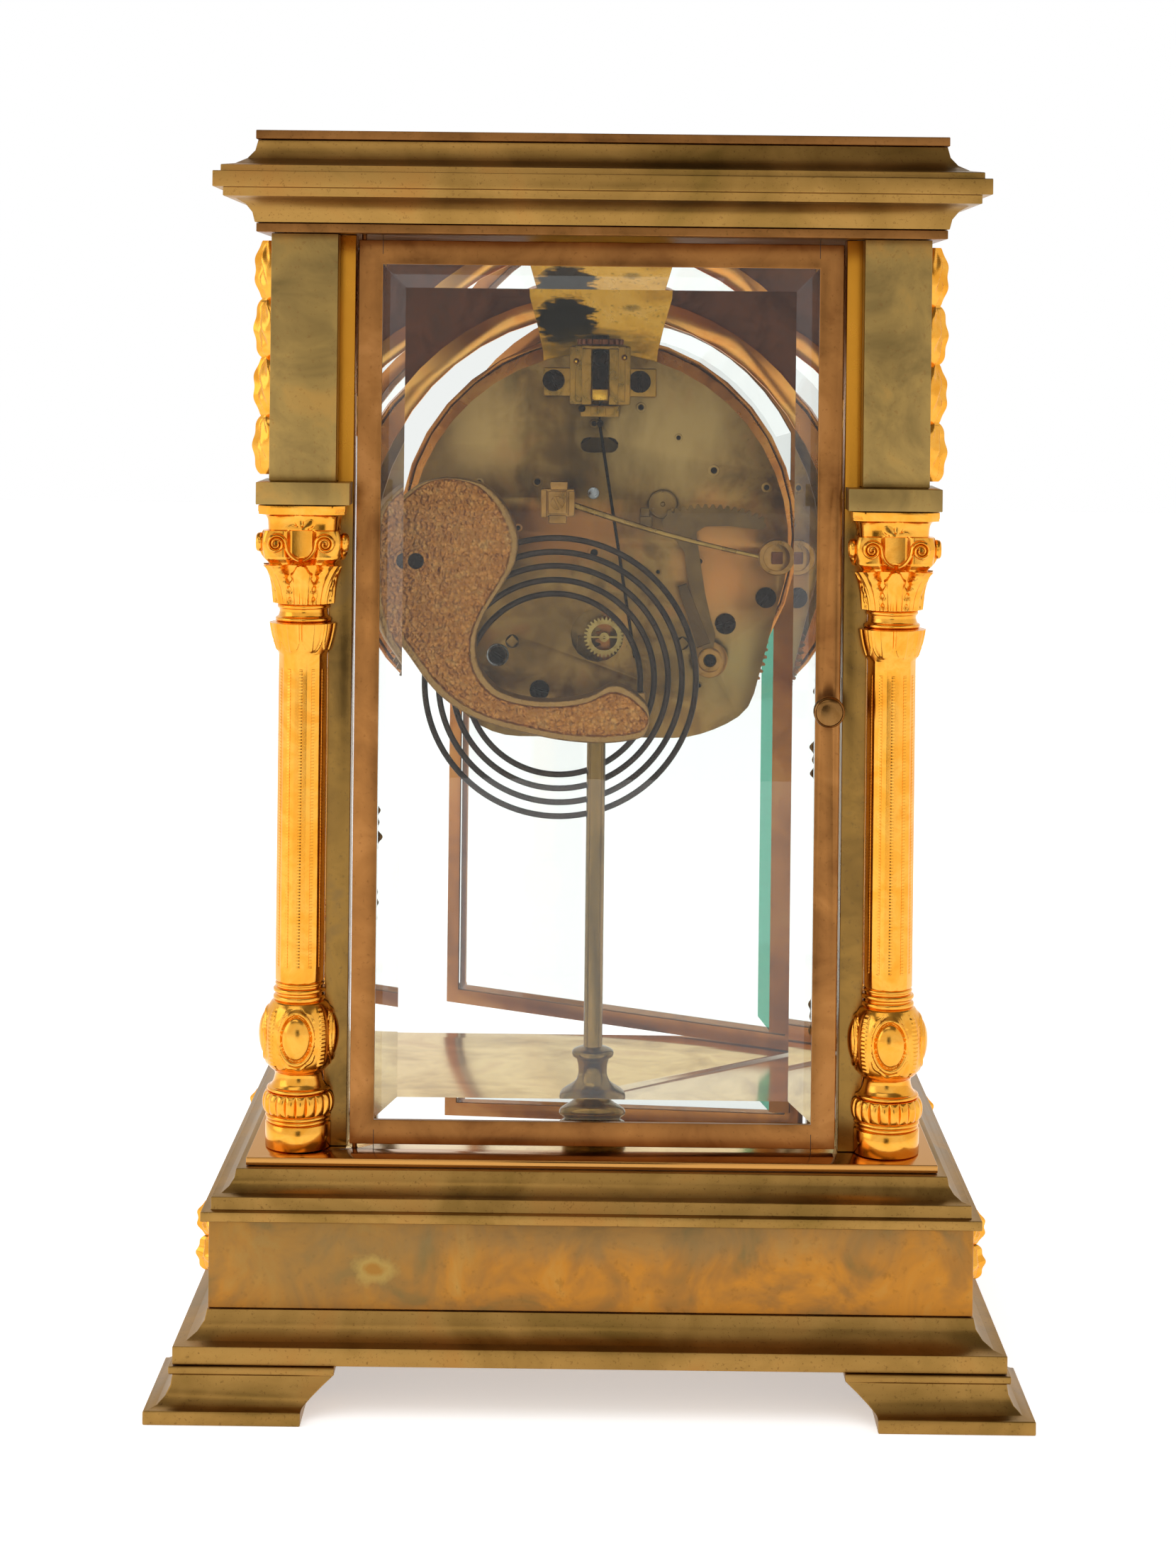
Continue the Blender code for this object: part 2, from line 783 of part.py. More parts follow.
def build_piers():
    """Each pier is a square block on a wider plate, notched at its inner corner for the post."""
    pieces = []
    for side_x, end in ((1, "left"), (-1, "right")):
        for side_y, face in ((-1, "front"), (1, "rear")):
            plan = [(side_x * (column_x + a), side_y * (column_y + b))
                    for a, b in notched_square(abacus_outer_reach, abacus_inner_reach)]
            plate = slab(f"pier_{face}_{end}", [plan], pier_z, pier_z + abacus_height, aged_brass)
            block = []
            levels = ((pier_groove, abacus_height / 2), (pier_groove, abacus_height + pier_groove),
                      (0.0, abacus_height + pier_groove), (0.0, pier_height))
            for relief, height in levels:
                half = pier_half - relief
                block.append([(side_x * (column_x + a), side_y * (column_y + b), pier_z + height)
                              for a, b in notched_square(half, half, relief)])
            pieces.append(fused(plate, [lofted("pier_block", block, aged_brass)]))
            low = pier_z + abacus_height + (pier_height - abacus_height - mount_height) / 2
            outline = [(side_y * column_y + y, low + z) for y, z in mount_outline(mount_width, mount_height)]
            face_x = column_x + pier_half + seat_gap
            rings = []
            for depth, shrink in ((0, 1.0), (mount_thickness / 2, 1.0), (mount_thickness, 0.6)):
                rings.append([(side_x * (face_x + depth), side_y * column_y + (y - side_y * column_y) * shrink,
                               z) for y, z in outline])
            pieces.append(lofted(f"pier_mount_{face}_{end}", rings, gilt))
    return pieces


def build_entablature():
    plan = rectangle(case_half_width, case_half_depth)
    rear_pin = circle(rear_axis, pin_radius + seat_gap)
    architrave = slab("architrave_plate", [plan, rear_pin], architrave_z,
                      architrave_z + architrave_thickness, aged_brass)
    low = cornice_z
    thin = low + cornice_cavetto_height
    wide = thin + cornice_thin_height
    step = wide + cornice_wide_height
    crown = step + crown_step_height
    top = crown + crown_cavetto_height
    profile = [(cornice_foot_reach, low)]
    profile += cavetto((cornice_foot_reach, low + seat_gap), (cornice_thin_reach - seat_gap, thin),
                       level_first=False)
    profile += [(cornice_thin_reach, thin), (cornice_thin_reach, wide), (cornice_wide_reach, wide),
                (cornice_wide_reach, step), (crown_step_reach, step), (crown_step_reach, crown)]
    profile += cavetto((crown_step_reach - seat_gap, crown), (-seat_gap, top - seat_gap))
    profile += [(-seat_gap, top), (-2 * sheet_wall, top), (-2 * sheet_wall, low)]
    cornice = frame_moulding("cornice", profile, aged_brass)
    lid = rectangle(case_half_width + top_reach, case_half_depth + top_reach)
    top_plate = slab("top_plate", [lid], top_z, top_z + top_thickness, aged_brass)
    return [architrave, cornice, top_plate]


def bevelled_pane(name, half_width, low, high, across, inner, outer, outline=None):
    """A glass pane with a wide ground bevel on its outer face; across turns the pane's plan."""
    def pane_ring(inset, depth):
        if outline:
            return [across(x, z, depth) for x, z in outline(inset)]
        corners = [(inset - half_width, low + inset), (half_width - inset, low + inset),
                   (half_width - inset, high - inset), (inset - half_width, high - inset)]
        return [across(x, z, depth) for x, z in corners]
    edge = inner + (glass_edge if outer > inner else -glass_edge)
    rings = [pane_ring(0, inner), pane_ring(0, edge), pane_ring(glass_bevel, outer)]
    return lofted(name, rings, clear_glass)


def latch_slot():
    """The mortise in the rear post that the door's latch turns into."""
    near = rear_outer_face - rear_thickness - 2 * seat_gap - latch_thickness
    middle = floor_top + knob_height
    reach = rear_half_width - rear_stile / 2 + latch_length
    return box("slot", (-reach - running_gap, near - seat_gap, middle - latch_width / 2 - running_gap),
               (-post_inner + overrun, near + latch_thickness + 2 * seat_gap,
                middle + latch_length), yellow_brass)


def build_posts_and_sides():
    """Four grooved corner posts and the two glasses that stand in their grooves."""
    outer = post_inner + post_width
    inner_face = post_outer_face - post_depth
    groove_inner = post_inner + groove_offset
    groove_outer = groove_inner + glass_thickness + 2 * seat_gap
    plan = [(post_inner, inner_face), (groove_inner, inner_face), (groove_inner, inner_face + groove_depth),
            (groove_outer, inner_face + groove_depth), (groove_outer, inner_face), (outer, inner_face),
            (outer, post_outer_face), (post_inner, post_outer_face)]
    low, high = floor_top + seat_gap, room_top
    pieces = []
    for side_x, end in ((1, "left"), (-1, "right")):
        for side_y, face in ((-1, "front"), (1, "rear")):
            outline = [(side_x * x, side_y * y) for x, y in plan]
            post = slab(f"post_{face}_{end}", [outline], low, high, yellow_brass)
            if (face, end) == ("rear", "right"):
                post = cut(post, [latch_slot()])
            pieces.append(post)
        half = inner_face + groove_depth - seat_gap
        pieces.append(bevelled_pane(
            f"side_glass_{end}", half, low, high,
            lambda along, z, depth, side=side_x: (side * depth, along, z),
            groove_inner + seat_gap, groove_outer - seat_gap))
    return pieces


def arched_outline(half_width, bottom, radius, inset):
    """A doorway outline: straight sides and a flat bottom under a segmental arch about the arch centre."""
    half, reach = half_width - inset, radius - inset
    spring = acos(half / reach)
    return [(-half, bottom + inset), (half, bottom + inset)] + arc((0, arch_z), reach, spring, pi - spring,
                                                                   arch_steps)


def box_outline(half_width, bottom, top, inset):
    half = half_width - inset
    return [(-half, bottom + inset), (half, bottom + inset), (half, top - inset), (-half, top - inset)]


def door_frame(name, outline, stile, inner, outer, material):
    """A door frame with a rebate on its inner side for the glass."""
    shelf = inner - copysign(rebate_depth, inner - outer)
    rings = []
    for inset, depth in ((0, inner), (0, outer), (stile, outer), (stile, shelf),
                         (stile - rebate_width, shelf), (stile - rebate_width, inner)):
        rings.append([(x, depth, z) for x, z in outline(inset)])
    return lofted(name, rings, material, ring_closed=True)


def knob_profile(reach, radius, neck):
    """A turned button on a neck; height runs from the button's face down to the door."""
    face_shares = ((0.0, 1.0), (0.70, 1.0), (0.95, 0.90), (1.0, 0.62), (0.95, 0.52), (0.62, 0.50))
    profile = [(share * radius, reach * height) for share, height in face_shares]
    return profile + [(neck, reach * face_shares[-1][1]), (neck, 0)]


def build_rear_door():
    bottom, top = floor_top + rear_bottom_gap, architrave_z - rear_top_gap
    inner = rear_outer_face - rear_thickness
    frame = door_frame("rear_door_frame", lambda inset: box_outline(rear_half_width, bottom, top, inset),
                       rear_stile, inner, rear_outer_face, copper_brass)
    low_pin = upright("pin", pin_radius, bottom - rear_bottom_gap - pin_length, bottom + overrun, rear_axis,
                      copper_brass)
    high_pin = upright("pin", pin_radius, top - overrun, top + rear_top_gap + pin_length, rear_axis,
                       copper_brass)
    frame = fused(frame, [low_pin, high_pin])
    knob_place = (rear_stile / 2 - rear_half_width, floor_top + knob_height)
    bore = rod("bore", knob_shank_radius + seat_gap, inner - overrun, rear_outer_face + overrun, knob_place,
               copper_brass)
    frame = cut(frame, [bore])
    opening = rear_stile - rebate_width + seat_gap
    glass_inner = inner + seat_gap
    glass = bevelled_pane("rear_door_glass", rear_half_width - opening, bottom + opening, top - opening,
                          lambda x, z, depth: (x, depth, z), glass_inner, glass_inner + glass_thickness)
    profile = knob_profile(knob_reach, knob_radius, knob_neck_radius)
    shank = rear_thickness + 2 * seat_gap + latch_thickness
    profile += [(knob_shank_radius, 0), (knob_shank_radius, -shank), (0, -shank)]
    knob = turned("rear_door_knob", profile, 16, copper_brass, axis="Y")
    knob.data.transform(Matrix.Translation((knob_place[0], rear_outer_face + seat_gap, knob_place[1])))
    latch_face = inner - seat_gap
    latch = box("latch", (knob_place[0] - latch_width / 2, latch_face - latch_thickness,
                          knob_place[1] - latch_width / 2),
                (knob_place[0] + latch_width / 2, latch_face, knob_place[1] + latch_length), copper_brass)
    knob = fused(knob, [latch])
    hinge = carrier("rear_door_hinge", (*rear_axis, bottom))
    spindle = carrier("rear_knob_spindle", (knob_place[0], rear_outer_face, knob_place[1]))
    carry(spindle, knob)
    carry(hinge, frame, glass, spindle)
    return [hinge]


def build_front_door():
    bottom = floor_top + front_bottom_gap
    outer, inner = -front_outer_face, front_thickness - front_outer_face
    frame = door_frame("front_door_frame",
                       lambda inset: arched_outline(front_half_width, bottom, door_arch_radius, inset),
                       front_stile, inner, outer, copper_brass)
    arch_rise = sqrt(door_arch_radius ** 2 - front_axis[0] ** 2)
    low_pin = upright("pin", pin_radius, bottom - front_bottom_gap - pin_length, bottom + overrun, front_axis,
                      copper_brass)
    high_pin = upright("pin", pin_radius, arch_z + arch_rise - overrun, arch_z + hinge_relief + pin_length,
                       front_axis, copper_brass)
    pull = turned("pull", knob_profile(pull_reach, pull_radius, pull_radius / 2)
                  + [(pull_radius / 2, -overrun), (0, -overrun)], 12, copper_brass, axis="Y")
    pull.data.transform(Matrix.Rotation(pi, 4, "Z"))
    pull.data.transform(Matrix.Translation((front_half_width - front_stile / 2, outer,
                                            floor_top + knob_height)))
    frame = fused(frame, [low_pin, high_pin, pull])
    opening = front_stile - rebate_width + seat_gap
    glass_inner = inner - seat_gap
    glass = bevelled_pane(
        "front_door_glass", 0, 0, 0, lambda x, z, depth: (x, depth, z), glass_inner,
        glass_inner - glass_thickness,
        outline=lambda inset: arched_outline(front_half_width, bottom, door_arch_radius, opening + inset))
    hinge = carrier("front_door_hinge", (*front_axis, bottom), -front_ajar)
    carry(hinge, frame, glass)
    return [hinge]


def build_surround():
    """The arched copper band, and the dark spandrel plate above it, cut back where the door's hinge edge turns."""
    half = post_inner - seat_gap
    outer = arc((0, arch_z), band_outer_radius, acos(half / band_outer_radius),
                pi - acos(half / band_outer_radius), arch_steps)
    inner = arc((0, arch_z), band_inner_radius, pi - acos(half / band_inner_radius),
                acos(half / band_inner_radius), arch_steps)
    spandrel_front = -front_outer_face
    spandrel_back = spandrel_front + spandrel_thickness
    band_front = spandrel_back + seat_gap
    band = flat("arch_band", [outer + inner], band_front, band_front + band_thickness, copper_brass)
    radius = door_arch_radius + arch_clearance
    under = [(-half, arch_z + hinge_relief)]
    under += arc((0, arch_z), radius, pi - asin(hinge_relief / radius), acos(half / radius), arch_steps)
    plate = flat("spandrel_plate", [[(half, room_top), (-half, room_top)] + under], spandrel_front,
                 spandrel_back, dark_bronze)
    rise = arch_z + hinge_relief
    hole = upright("hole", pin_radius + seat_gap, rise - overrun, rise + pin_length + running_gap, front_axis,
                   dark_bronze)
    return [band, cut(plate, [hole])]


def plate_outline():
    """The movement plate: a large round over two lower lobes, with straight flanks between them."""
    spread = hypot(lobe_offset, lobe_drop)
    lean = atan2(lobe_drop, lobe_offset)
    flank = acos((plate_radius - lobe_radius) / spread) - lean
    top = arc((0, movement_z), plate_radius, flank, pi - flank, 26)
    left = arc((-lobe_offset, movement_z - lobe_drop), lobe_radius, pi - flank, 1.5 * pi, 7)
    right = arc((lobe_offset, movement_z - lobe_drop), lobe_radius, 1.5 * pi, 2 * pi + flank, 7)
    return top + left + right


def on_plate(place, side=1):
    return (side * place[0], movement_z + place[1])


def meeting_point(first, reach_first, second, reach_second, side):
    """The arbor place at given distances from two others, on the chosen side of the line between them."""
    across, up = second[0] - first[0], second[1] - first[1]
    span = hypot(across, up)
    along = (reach_first ** 2 - reach_second ** 2 + span ** 2) / (2 * span)
    off = side * sqrt(reach_first ** 2 - along ** 2)
    return (first[0] + (across * along - up * off) / span, first[1] + (up * along + across * off) / span)


def centre_distance(teeth, module):
    return module * (teeth + pinion_leaves) / 2


great_reach = centre_distance(great_teeth, great_module)
second_reach = centre_distance(second_teeth, second_module)
time_great = great_place
strike_great = (-great_place[0], great_place[1])
escape_place = (0, escape_rise)
time_second = meeting_point(time_great, great_reach, (0, 0), second_reach, 1)
strike_second = meeting_point(strike_great, great_reach, gathering_place, second_reach, 1)
third_place = meeting_point((0, 0), centre_distance(centre_teeth, centre_module), escape_place,
                            centre_distance(third_teeth, third_module), -1)
pallet_place = (0, pallet_rise)


def toothed(teeth, tip, root, phase):
    """Pointed teeth round a circle, the first tooth at the phase angle."""
    points = []
    for at in range(teeth):
        angle = phase + 2 * pi * at / teeth
        points.append((tip * cos(angle), tip * sin(angle)))
        angle += pi / teeth
        points.append((root * cos(angle), root * sin(angle)))
    return points


def gear(name, teeth, module, place, phase, near, far, material=plate_brass):
    pitch = module * teeth / 2
    outline = toothed(teeth, pitch + addendum_share * module, pitch - dedendum_share * module, phase)
    centre = on_plate(place)
    return flat(name, [[(centre[0] + x, centre[1] + z) for x, z in outline]], near, far, material)


def bearing(first, second):
    return atan2(second[1] - first[1], second[0] - first[0])


def train_wheel(name, place, wheel, pinion, reach_back=None, reach_front=None, rim=None):
    """An arbor between the plates with a wheel and a pinion: each as teeth, module, level and mate."""
    back = back_plate_front - seat_gap if reach_back is None else reach_back
    front = front_plate_back + seat_gap if reach_front is None else reach_front
    body = rod(name, arbor_radius, front, back, on_plate(place), bright_steel, sides=10)
    body.data.materials.clear()
    body.data.materials.append(plate_brass)
    others = [rim] if rim else []
    if wheel:
        teeth, module, level, mate = wheel
        others.append(gear("wheel", teeth, module, place, bearing(place, mate), front_plate_back + level,
                           front_plate_back + level + wheel_thickness))
    if pinion:
        module, level, mate = pinion
        phase = bearing(place, mate) + pi / pinion_leaves
        middle = front_plate_back + level + wheel_thickness / 2
        others.append(gear("pinion", pinion_leaves, module, place, phase, middle - pinion_width / 2,
                           middle + pinion_width / 2))
    return fused(body, others)


def great_wheel(name, place, mate):
    """A great wheel with its spring barrel and the winding square that reaches to the dial."""
    front = front_plate_back + great_level
    body = rod(name, winding_radius, front_plate_face - winding_reach, back_plate_face + seat_gap,
               on_plate(place), plate_brass, sides=4)
    wheel = gear("wheel", great_teeth, great_module, place, bearing(place, mate), front,
                 front + great_thickness)
    barrel = rod("barrel", barrel_radius, front + great_thickness / 2, front + great_thickness + barrel_width,
                 on_plate(place), plate_brass, sides=16)
    return fused(body, [wheel, barrel])


def build_plates():
    outline = plate_outline()
    shaft = arbor_radius + seat_gap
    slot = arc((slot_length / 2 - slot_width / 2, movement_z + slot_rise), slot_width / 2, -pi / 2, pi / 2, 5)
    slot += arc((slot_width / 2 - slot_length / 2, movement_z + slot_rise), slot_width / 2, pi / 2, 1.5 * pi, 5)
    square = winding_radius + seat_gap
    back_holes = [slot, circle((0, movement_z - window_drop), window_radius, 16),
                  circle(on_plate(pallet_place), shaft, 10), circle(on_plate(gathering_place), shaft, 10),
                  circle(on_plate(rack_place), rack_pin_radius + seat_gap, 10),
                  circle(on_plate(hammer_place), hammer_arbor_radius + seat_gap, 12)]
    back_holes += [circle(on_plate(place), square, 12) for place in (time_great, strike_great)]
    back = flat("back_plate", [outline] + back_holes, back_plate_front, back_plate_face, plate_brass)
    front_holes = [circle(on_plate(place), square, 12) for place in (time_great, strike_great)]
    front_holes.append(circle((0, movement_z), shaft, 10))
    front = flat("front_plate", [outline] + front_holes, front_plate_face, front_plate_back, plate_brass)
    pillars = []
    for place in pillar_places:
        for side in (-1, 1):
            pillars.append(rod("pillar", pillar_radius, front_plate_back - plate_thickness / 2,
                               back_plate_front - seat_gap, on_plate(place, side), plate_brass, sides=10))
    return [back, fused(front, pillars)]


def build_trains():
    pieces = []

    def spin(name, place, *solids):
        axis = carrier(name, (on_plate(place)[0], back_plate_front, on_plate(place)[1]))
        carry(axis, *solids)
        pieces.append(axis)

    spin("time_great_arbor", time_great, great_wheel("time_great_wheel", time_great, time_second))
    spin("strike_great_arbor", strike_great, great_wheel("strike_great_wheel", strike_great, strike_second))
    second_pinion = (great_module, great_level, time_great)
    spin("time_second_arbor", time_second,
         train_wheel("time_second_wheel", time_second, (second_teeth, second_module, second_level, (0, 0)),
                     second_pinion))
    spin("strike_second_arbor", strike_second,
         train_wheel("strike_second_wheel", strike_second,
                     (second_teeth, second_module, second_level, gathering_place),
                     (great_module, great_level, strike_great)))
    hand_tip = dial_face - hand_clear - hand_thickness * 2 - hand_spacing - running_gap
    centre = train_wheel("centre_wheel", (0, 0), (centre_teeth, centre_module, centre_level, third_place),
                         (second_module, second_level, time_second), reach_front=hand_tip)
    minute_hand = build_minute_hand()
    spin("minute_arbor", (0, 0), centre, minute_hand)
    spin("hour_arbor", (0, 0), build_hour_hand())
    spin("third_arbor", third_place,
         train_wheel("third_wheel", third_place, (third_teeth, third_module, third_level, escape_place),
                     (centre_module, centre_level, (0, 0))))
    level = front_plate_back + escape_level
    teeth = toothed(escape_teeth, escape_radius, escape_radius - escape_tooth_depth,
                    pallet_angle + pi / escape_teeth)
    middle = on_plate(escape_place)
    rim = flat("rim", [[(middle[0] + x, middle[1] + z) for x, z in teeth]], level, level + wheel_thickness,
               plate_brass)
    spin("escape_arbor", escape_place,
         train_wheel("escape_wheel", escape_place, None, (third_module, third_level, third_place), rim=rim))
    spin("gathering_arbor", gathering_place, build_gathering_wheel())
    return pieces


def build_gathering_wheel():
    """The gathering arbor ends outside the back plate in a ring with three pins."""
    ring_near = back_plate_face + gathering_ring_gap
    ring_far = ring_near + gathering_ring_thickness
    wheel = train_wheel("gathering_wheel", gathering_place, None,
                        (second_module, second_level, strike_second), reach_back=ring_near + seat_gap)
    centre = on_plate(gathering_place)
    others = [rod("ring", gathering_ring_radius, ring_near, ring_far, centre, plate_brass, sides=16)]
    for at in range(3):
        angle = pi / 2 + 2 * pi * at / 3
        place = (centre[0] + gathering_pin_circle * cos(angle), centre[1] + gathering_pin_circle * sin(angle))
        others.append(rod("pin", gathering_pin_radius, ring_far - seat_gap, ring_far + gathering_pin_length,
                          place, plate_brass, sides=6))
    return fused(wheel, others)


def hand_outline(length, width, bore):
    """A pointed hand with a round boss, a slim waist and a leaf-shaped blade; Z is its length."""
    blade_shares = ((0.16, 0.24), (0.42, 0.30), (0.56, 1.00), (0.72, 0.62), (0.88, 0.20))
    boss = arc((0, 0), bore + width / 2, pi / 2 + boss_opening, 5 * pi / 2 - boss_opening, 12)
    right = [(width / 2 * half, length * along) for along, half in blade_shares]
    left = [(-x, z) for x, z in reversed(right)]
    return boss + right + [(0, length)] + left


def turned_outline(points, angle):
    """Turns a hand's outline clockwise as the dial's reader sees it, about the dial centre."""
    return [(x * cos(angle) - z * sin(angle), movement_z + x * sin(angle) + z * cos(angle)) for x, z in points]


def build_minute_hand():
    bore = arbor_radius + seat_gap
    far = dial_face - hand_clear - hand_thickness - hand_spacing
    outline = turned_outline(hand_outline(minute_hand_length, minute_hand_width, bore), minute_angle)
    return flat("minute_hand", [outline, circle((0, movement_z), bore, 10)], far - hand_thickness, far,
                blued_steel)


def build_hour_hand():
    """The hour hand on its pipe, with the hour wheel behind the dial."""
    far = dial_face - hand_clear
    outline = turned_outline(hand_outline(hour_hand_length, hour_hand_width, hour_pipe_radius), hour_angle)
    hand = flat("hour_hand", [outline], far - hand_thickness, far, blued_steel)
    start = front_plate_face - running_gap
    pipe = rod("pipe", hour_pipe_radius, far - hand_thickness - running_gap, start, (0, movement_z),
               blued_steel)
    wheel = rod("hour_wheel", hour_wheel_radius, start - wheel_thickness - running_gap, start - running_gap,
                (0, movement_z), blued_steel, sides=16)
    bore = rod("bore", hour_pipe_bore, far - hand_thickness - overrun, start + overrun, (0, movement_z),
               blued_steel, sides=10)
    return cut(fused(hand, [pipe, wheel]), [bore])


def build_dial():
    holes = [circle((0, movement_z), dial_bore, 16)]
    holes += [circle(on_plate(place), key_hole_radius, 12) for place in (time_great, strike_great)]
    dial = flat("dial", [circle((0, movement_z), dial_radius, dial_steps)] + holes, dial_face, dial_back, enamel)
    feet = [rod("foot", dial_foot_radius, dial_back - dial_thickness / 2, front_plate_face - seat_gap,
                on_plate(dial_foot_place, side), enamel, sides=8) for side in (-1, 1)]
    dial = fused(dial, feet)
    inside = dial_radius + seat_gap
    outer = inside + bezel_wall
    lip = seat_gap + dial_thickness
    profile = [(inside, 0), (outer, 0), (outer, -bezel_depth + bezel_lip / 2),
               (outer - bezel_wall, -bezel_depth), (bezel_inner_radius, -bezel_depth + bezel_wall),
               (bezel_inner_radius, -lip), (inside, -lip)]
    bezel = turned("bezel", profile, dial_steps, copper_brass, axis="Y", ring=True)
    bezel.data.transform(Matrix.Translation((0, dial_back, movement_z)))
    return [dial, bezel]


def build_suspension():
    """The suspension cock, its spring and brass nut, and the toothed rating wheel on top."""
    low = movement_z + cock_rise
    near = back_plate_face + seat_gap
    foot = box("suspension_cock", (-cock_half_width, near, low),
               (cock_half_width, near + cock_foot_thickness, low + cock_foot_height), plate_brass)
    block_low = low - cock_block_drop
    block_high = block_low + cock_block_height
    block = box("block", (-cock_block_half, near, block_low),
                (cock_block_half, near + cock_block_depth, block_high), plate_brass)
    middle = near + cock_block_depth / 2
    bore = upright("bore", rating_stem_radius + seat_gap, block_high - rating_stem_length - seat_gap,
                   block_high + overrun, (0, middle), plate_brass)
    cock = cut(fused(foot, [block]), [bore])
    wheel_low = block_high + seat_gap
    teeth = toothed(rating_teeth, rating_radius, rating_radius * rating_root_share, 0)
    wheel = slab("rating_wheel", [[(x, middle + y) for x, y in teeth]], wheel_low,
                 wheel_low + rating_thickness, plate_brass)
    stem = upright("stem", rating_stem_radius, wheel_low + rating_thickness / 2 - rating_stem_length,
                   wheel_low + rating_thickness + rating_stem_radius, (0, middle), plate_brass)
    wheel = fused(wheel, [stem])
    spring_near = near + cock_block_depth + seat_gap
    spring_top = block_high - cock_block_drop / 4
    spring = box("suspension_spring", (-spring_half_width, spring_near, spring_top - spring_height),
                 (spring_half_width, spring_near + spring_thickness, spring_top), blued_steel)
    nut_centre = (0, spring_near + spring_nut_radius)
    nut = upright("nut", spring_nut_radius, spring_top - spring_height,
                  spring_top - spring_height + spring_nut_height, nut_centre, blued_steel)
    axis = carrier("rating_axis", (0, middle, block_high))
    carry(axis, wheel)
    return [cock, fused(spring, [nut]), axis]


def build_crutch():
    """The pallet arbor with its anchor over the escape wheel and the long wire that hangs outside."""
    axis_x, axis_z = on_plate(pallet_place)
    far = back_plate_face + crutch_reach
    body = rod("crutch", arbor_radius, front_plate_back + seat_gap, far + crutch_wire_radius,
               (axis_x, axis_z), blued_steel, sides=10)
    tip_reach = escape_radius + pallet_clearance
    tip_x = tip_reach * cos(pallet_angle)
    tip_z = movement_z + escape_rise + tip_reach * sin(pallet_angle)
    drop = axis_z - tip_z
    shoulder_shares = ((0.30, -0.16), (1.06, 0.08), (1.14, 0.40))
    throat_shares = ((0.92, 0.86), (0.86, 0.56), (0.24, 0.30))
    right = [(tip_x * across, axis_z - drop * down) for across, down in shoulder_shares]
    right += [(tip_x, tip_z)]
    right += [(tip_x * across, axis_z - drop * down) for across, down in throat_shares]
    left = [(-x, z) for x, z in reversed(right)]
    level = front_plate_back + escape_level + wheel_thickness / 2
    anchor = flat("anchor", [right + left], level - pallet_width / 2, level + pallet_width / 2, blued_steel)
    foot = (axis_x - crutch_sweep, far, axis_z - crutch_drop)
    wire = tube("wire", [(axis_x, far, axis_z), foot, (foot[0], far + crutch_hook, foot[2])],
                crutch_wire_radius, blued_steel, resolution=1)
    axis = carrier("pallet_arbor", (axis_x, back_plate_front, axis_z))
    carry(axis, fused(body, [anchor, wire]))
    return [axis]


def build_rack():
    """The rack: a hub on a pin in the back plate, an arm, and a toothed sector."""
    centre = on_plate(rack_place)
    near = back_plate_face + rack_offset
    root = rack_radius - rack_tooth_depth
    inner = rack_radius - rack_rim
    middle = (rack_start + rack_end) / 2
    outline = []
    for at in range(2 * rack_teeth + 1):
        angle = rack_start + (rack_end - rack_start) * at / (2 * rack_teeth)
        reach = rack_radius if at % 2 else root
        outline.append((centre[0] + reach * cos(angle), centre[1] + reach * sin(angle)))
    arm_turn = rack_arm_half / inner
    outline += arc(centre, inner, rack_end, middle + arm_turn, 4)
    hub_turn = rack_arm_half / rack_boss_radius
    outline += arc(centre, rack_boss_radius, middle + hub_turn, middle + 2 * pi - hub_turn, 12)
    outline += arc(centre, inner, middle - arm_turn, rack_start, 4)
    body = flat("rack", [outline], near, near + rack_thickness, plate_brass)
    hub_near = back_plate_face + seat_gap
    hub = rod("hub", rack_hub_radius, hub_near, hub_near + rack_hub_length, centre, plate_brass)
    pin = rod("pin", rack_pin_radius, back_plate_front, hub_near + overrun, centre, plate_brass, sides=10)
    axis = carrier("rack_pivot", (centre[0], back_plate_face, centre[1]))
    carry(axis, fused(body, [hub, pin]))
    return [axis]


def build_hammer():
    """The hammer: a block on a long thin rod, held in a collet on its arbor."""
    centre = on_plate(hammer_place)
    head_x, head_z = on_plate(hammer_head_place)
    plane = back_plate_face + hammer_offset
    body = rod("hammer", hammer_arbor_radius, front_plate_back + seat_gap,
               plane + hammer_collet_width, centre, plate_brass)
    collet = rod("collet", hammer_collet_radius, plane - hammer_collet_width / 2,
                 plane + hammer_collet_width / 2, centre, plate_brass, sides=20)
    wire = tube("wire", [(centre[0], plane, centre[1]), (head_x, plane, head_z)], hammer_rod_radius,
                plate_brass)
    head_near = gong_plane - hammer_head_depth * hammer_head_near_share
    head = box("head", (head_x - hammer_head_half_width, head_near, head_z - hammer_head_height / 2),
               (head_x + hammer_head_half_width, head_near + hammer_head_depth,
                head_z + hammer_head_height / 2), plate_brass)
    axis = carrier("hammer_arbor", (centre[0], back_plate_face, centre[1]))
    carry(axis, fused(body, [collet, wire, head]))
    return [axis]


def gong_points():
    """The coil: a short straight lead up from its collet, then turns that widen at a steady pitch."""
    centre = on_plate(gong_place)
    inner = gong_outer_radius - gong_turns * gong_pitch
    start = (centre[0] - inner, gong_plane, centre[1])
    points = [(start[0], gong_plane, start[2] - gong_lead_length),
              (start[0], gong_plane, start[2] - gong_lead_length / 2)]
    count = ceil(gong_turns * gong_turn_points)
    for at in range(count + 1):
        turn = gong_turns * at / count
        reach = inner + gong_pitch * turn
        angle = pi - 2 * pi * turn
        points.append((centre[0] + reach * cos(angle), gong_plane, centre[1] + reach * sin(angle)))
    return points


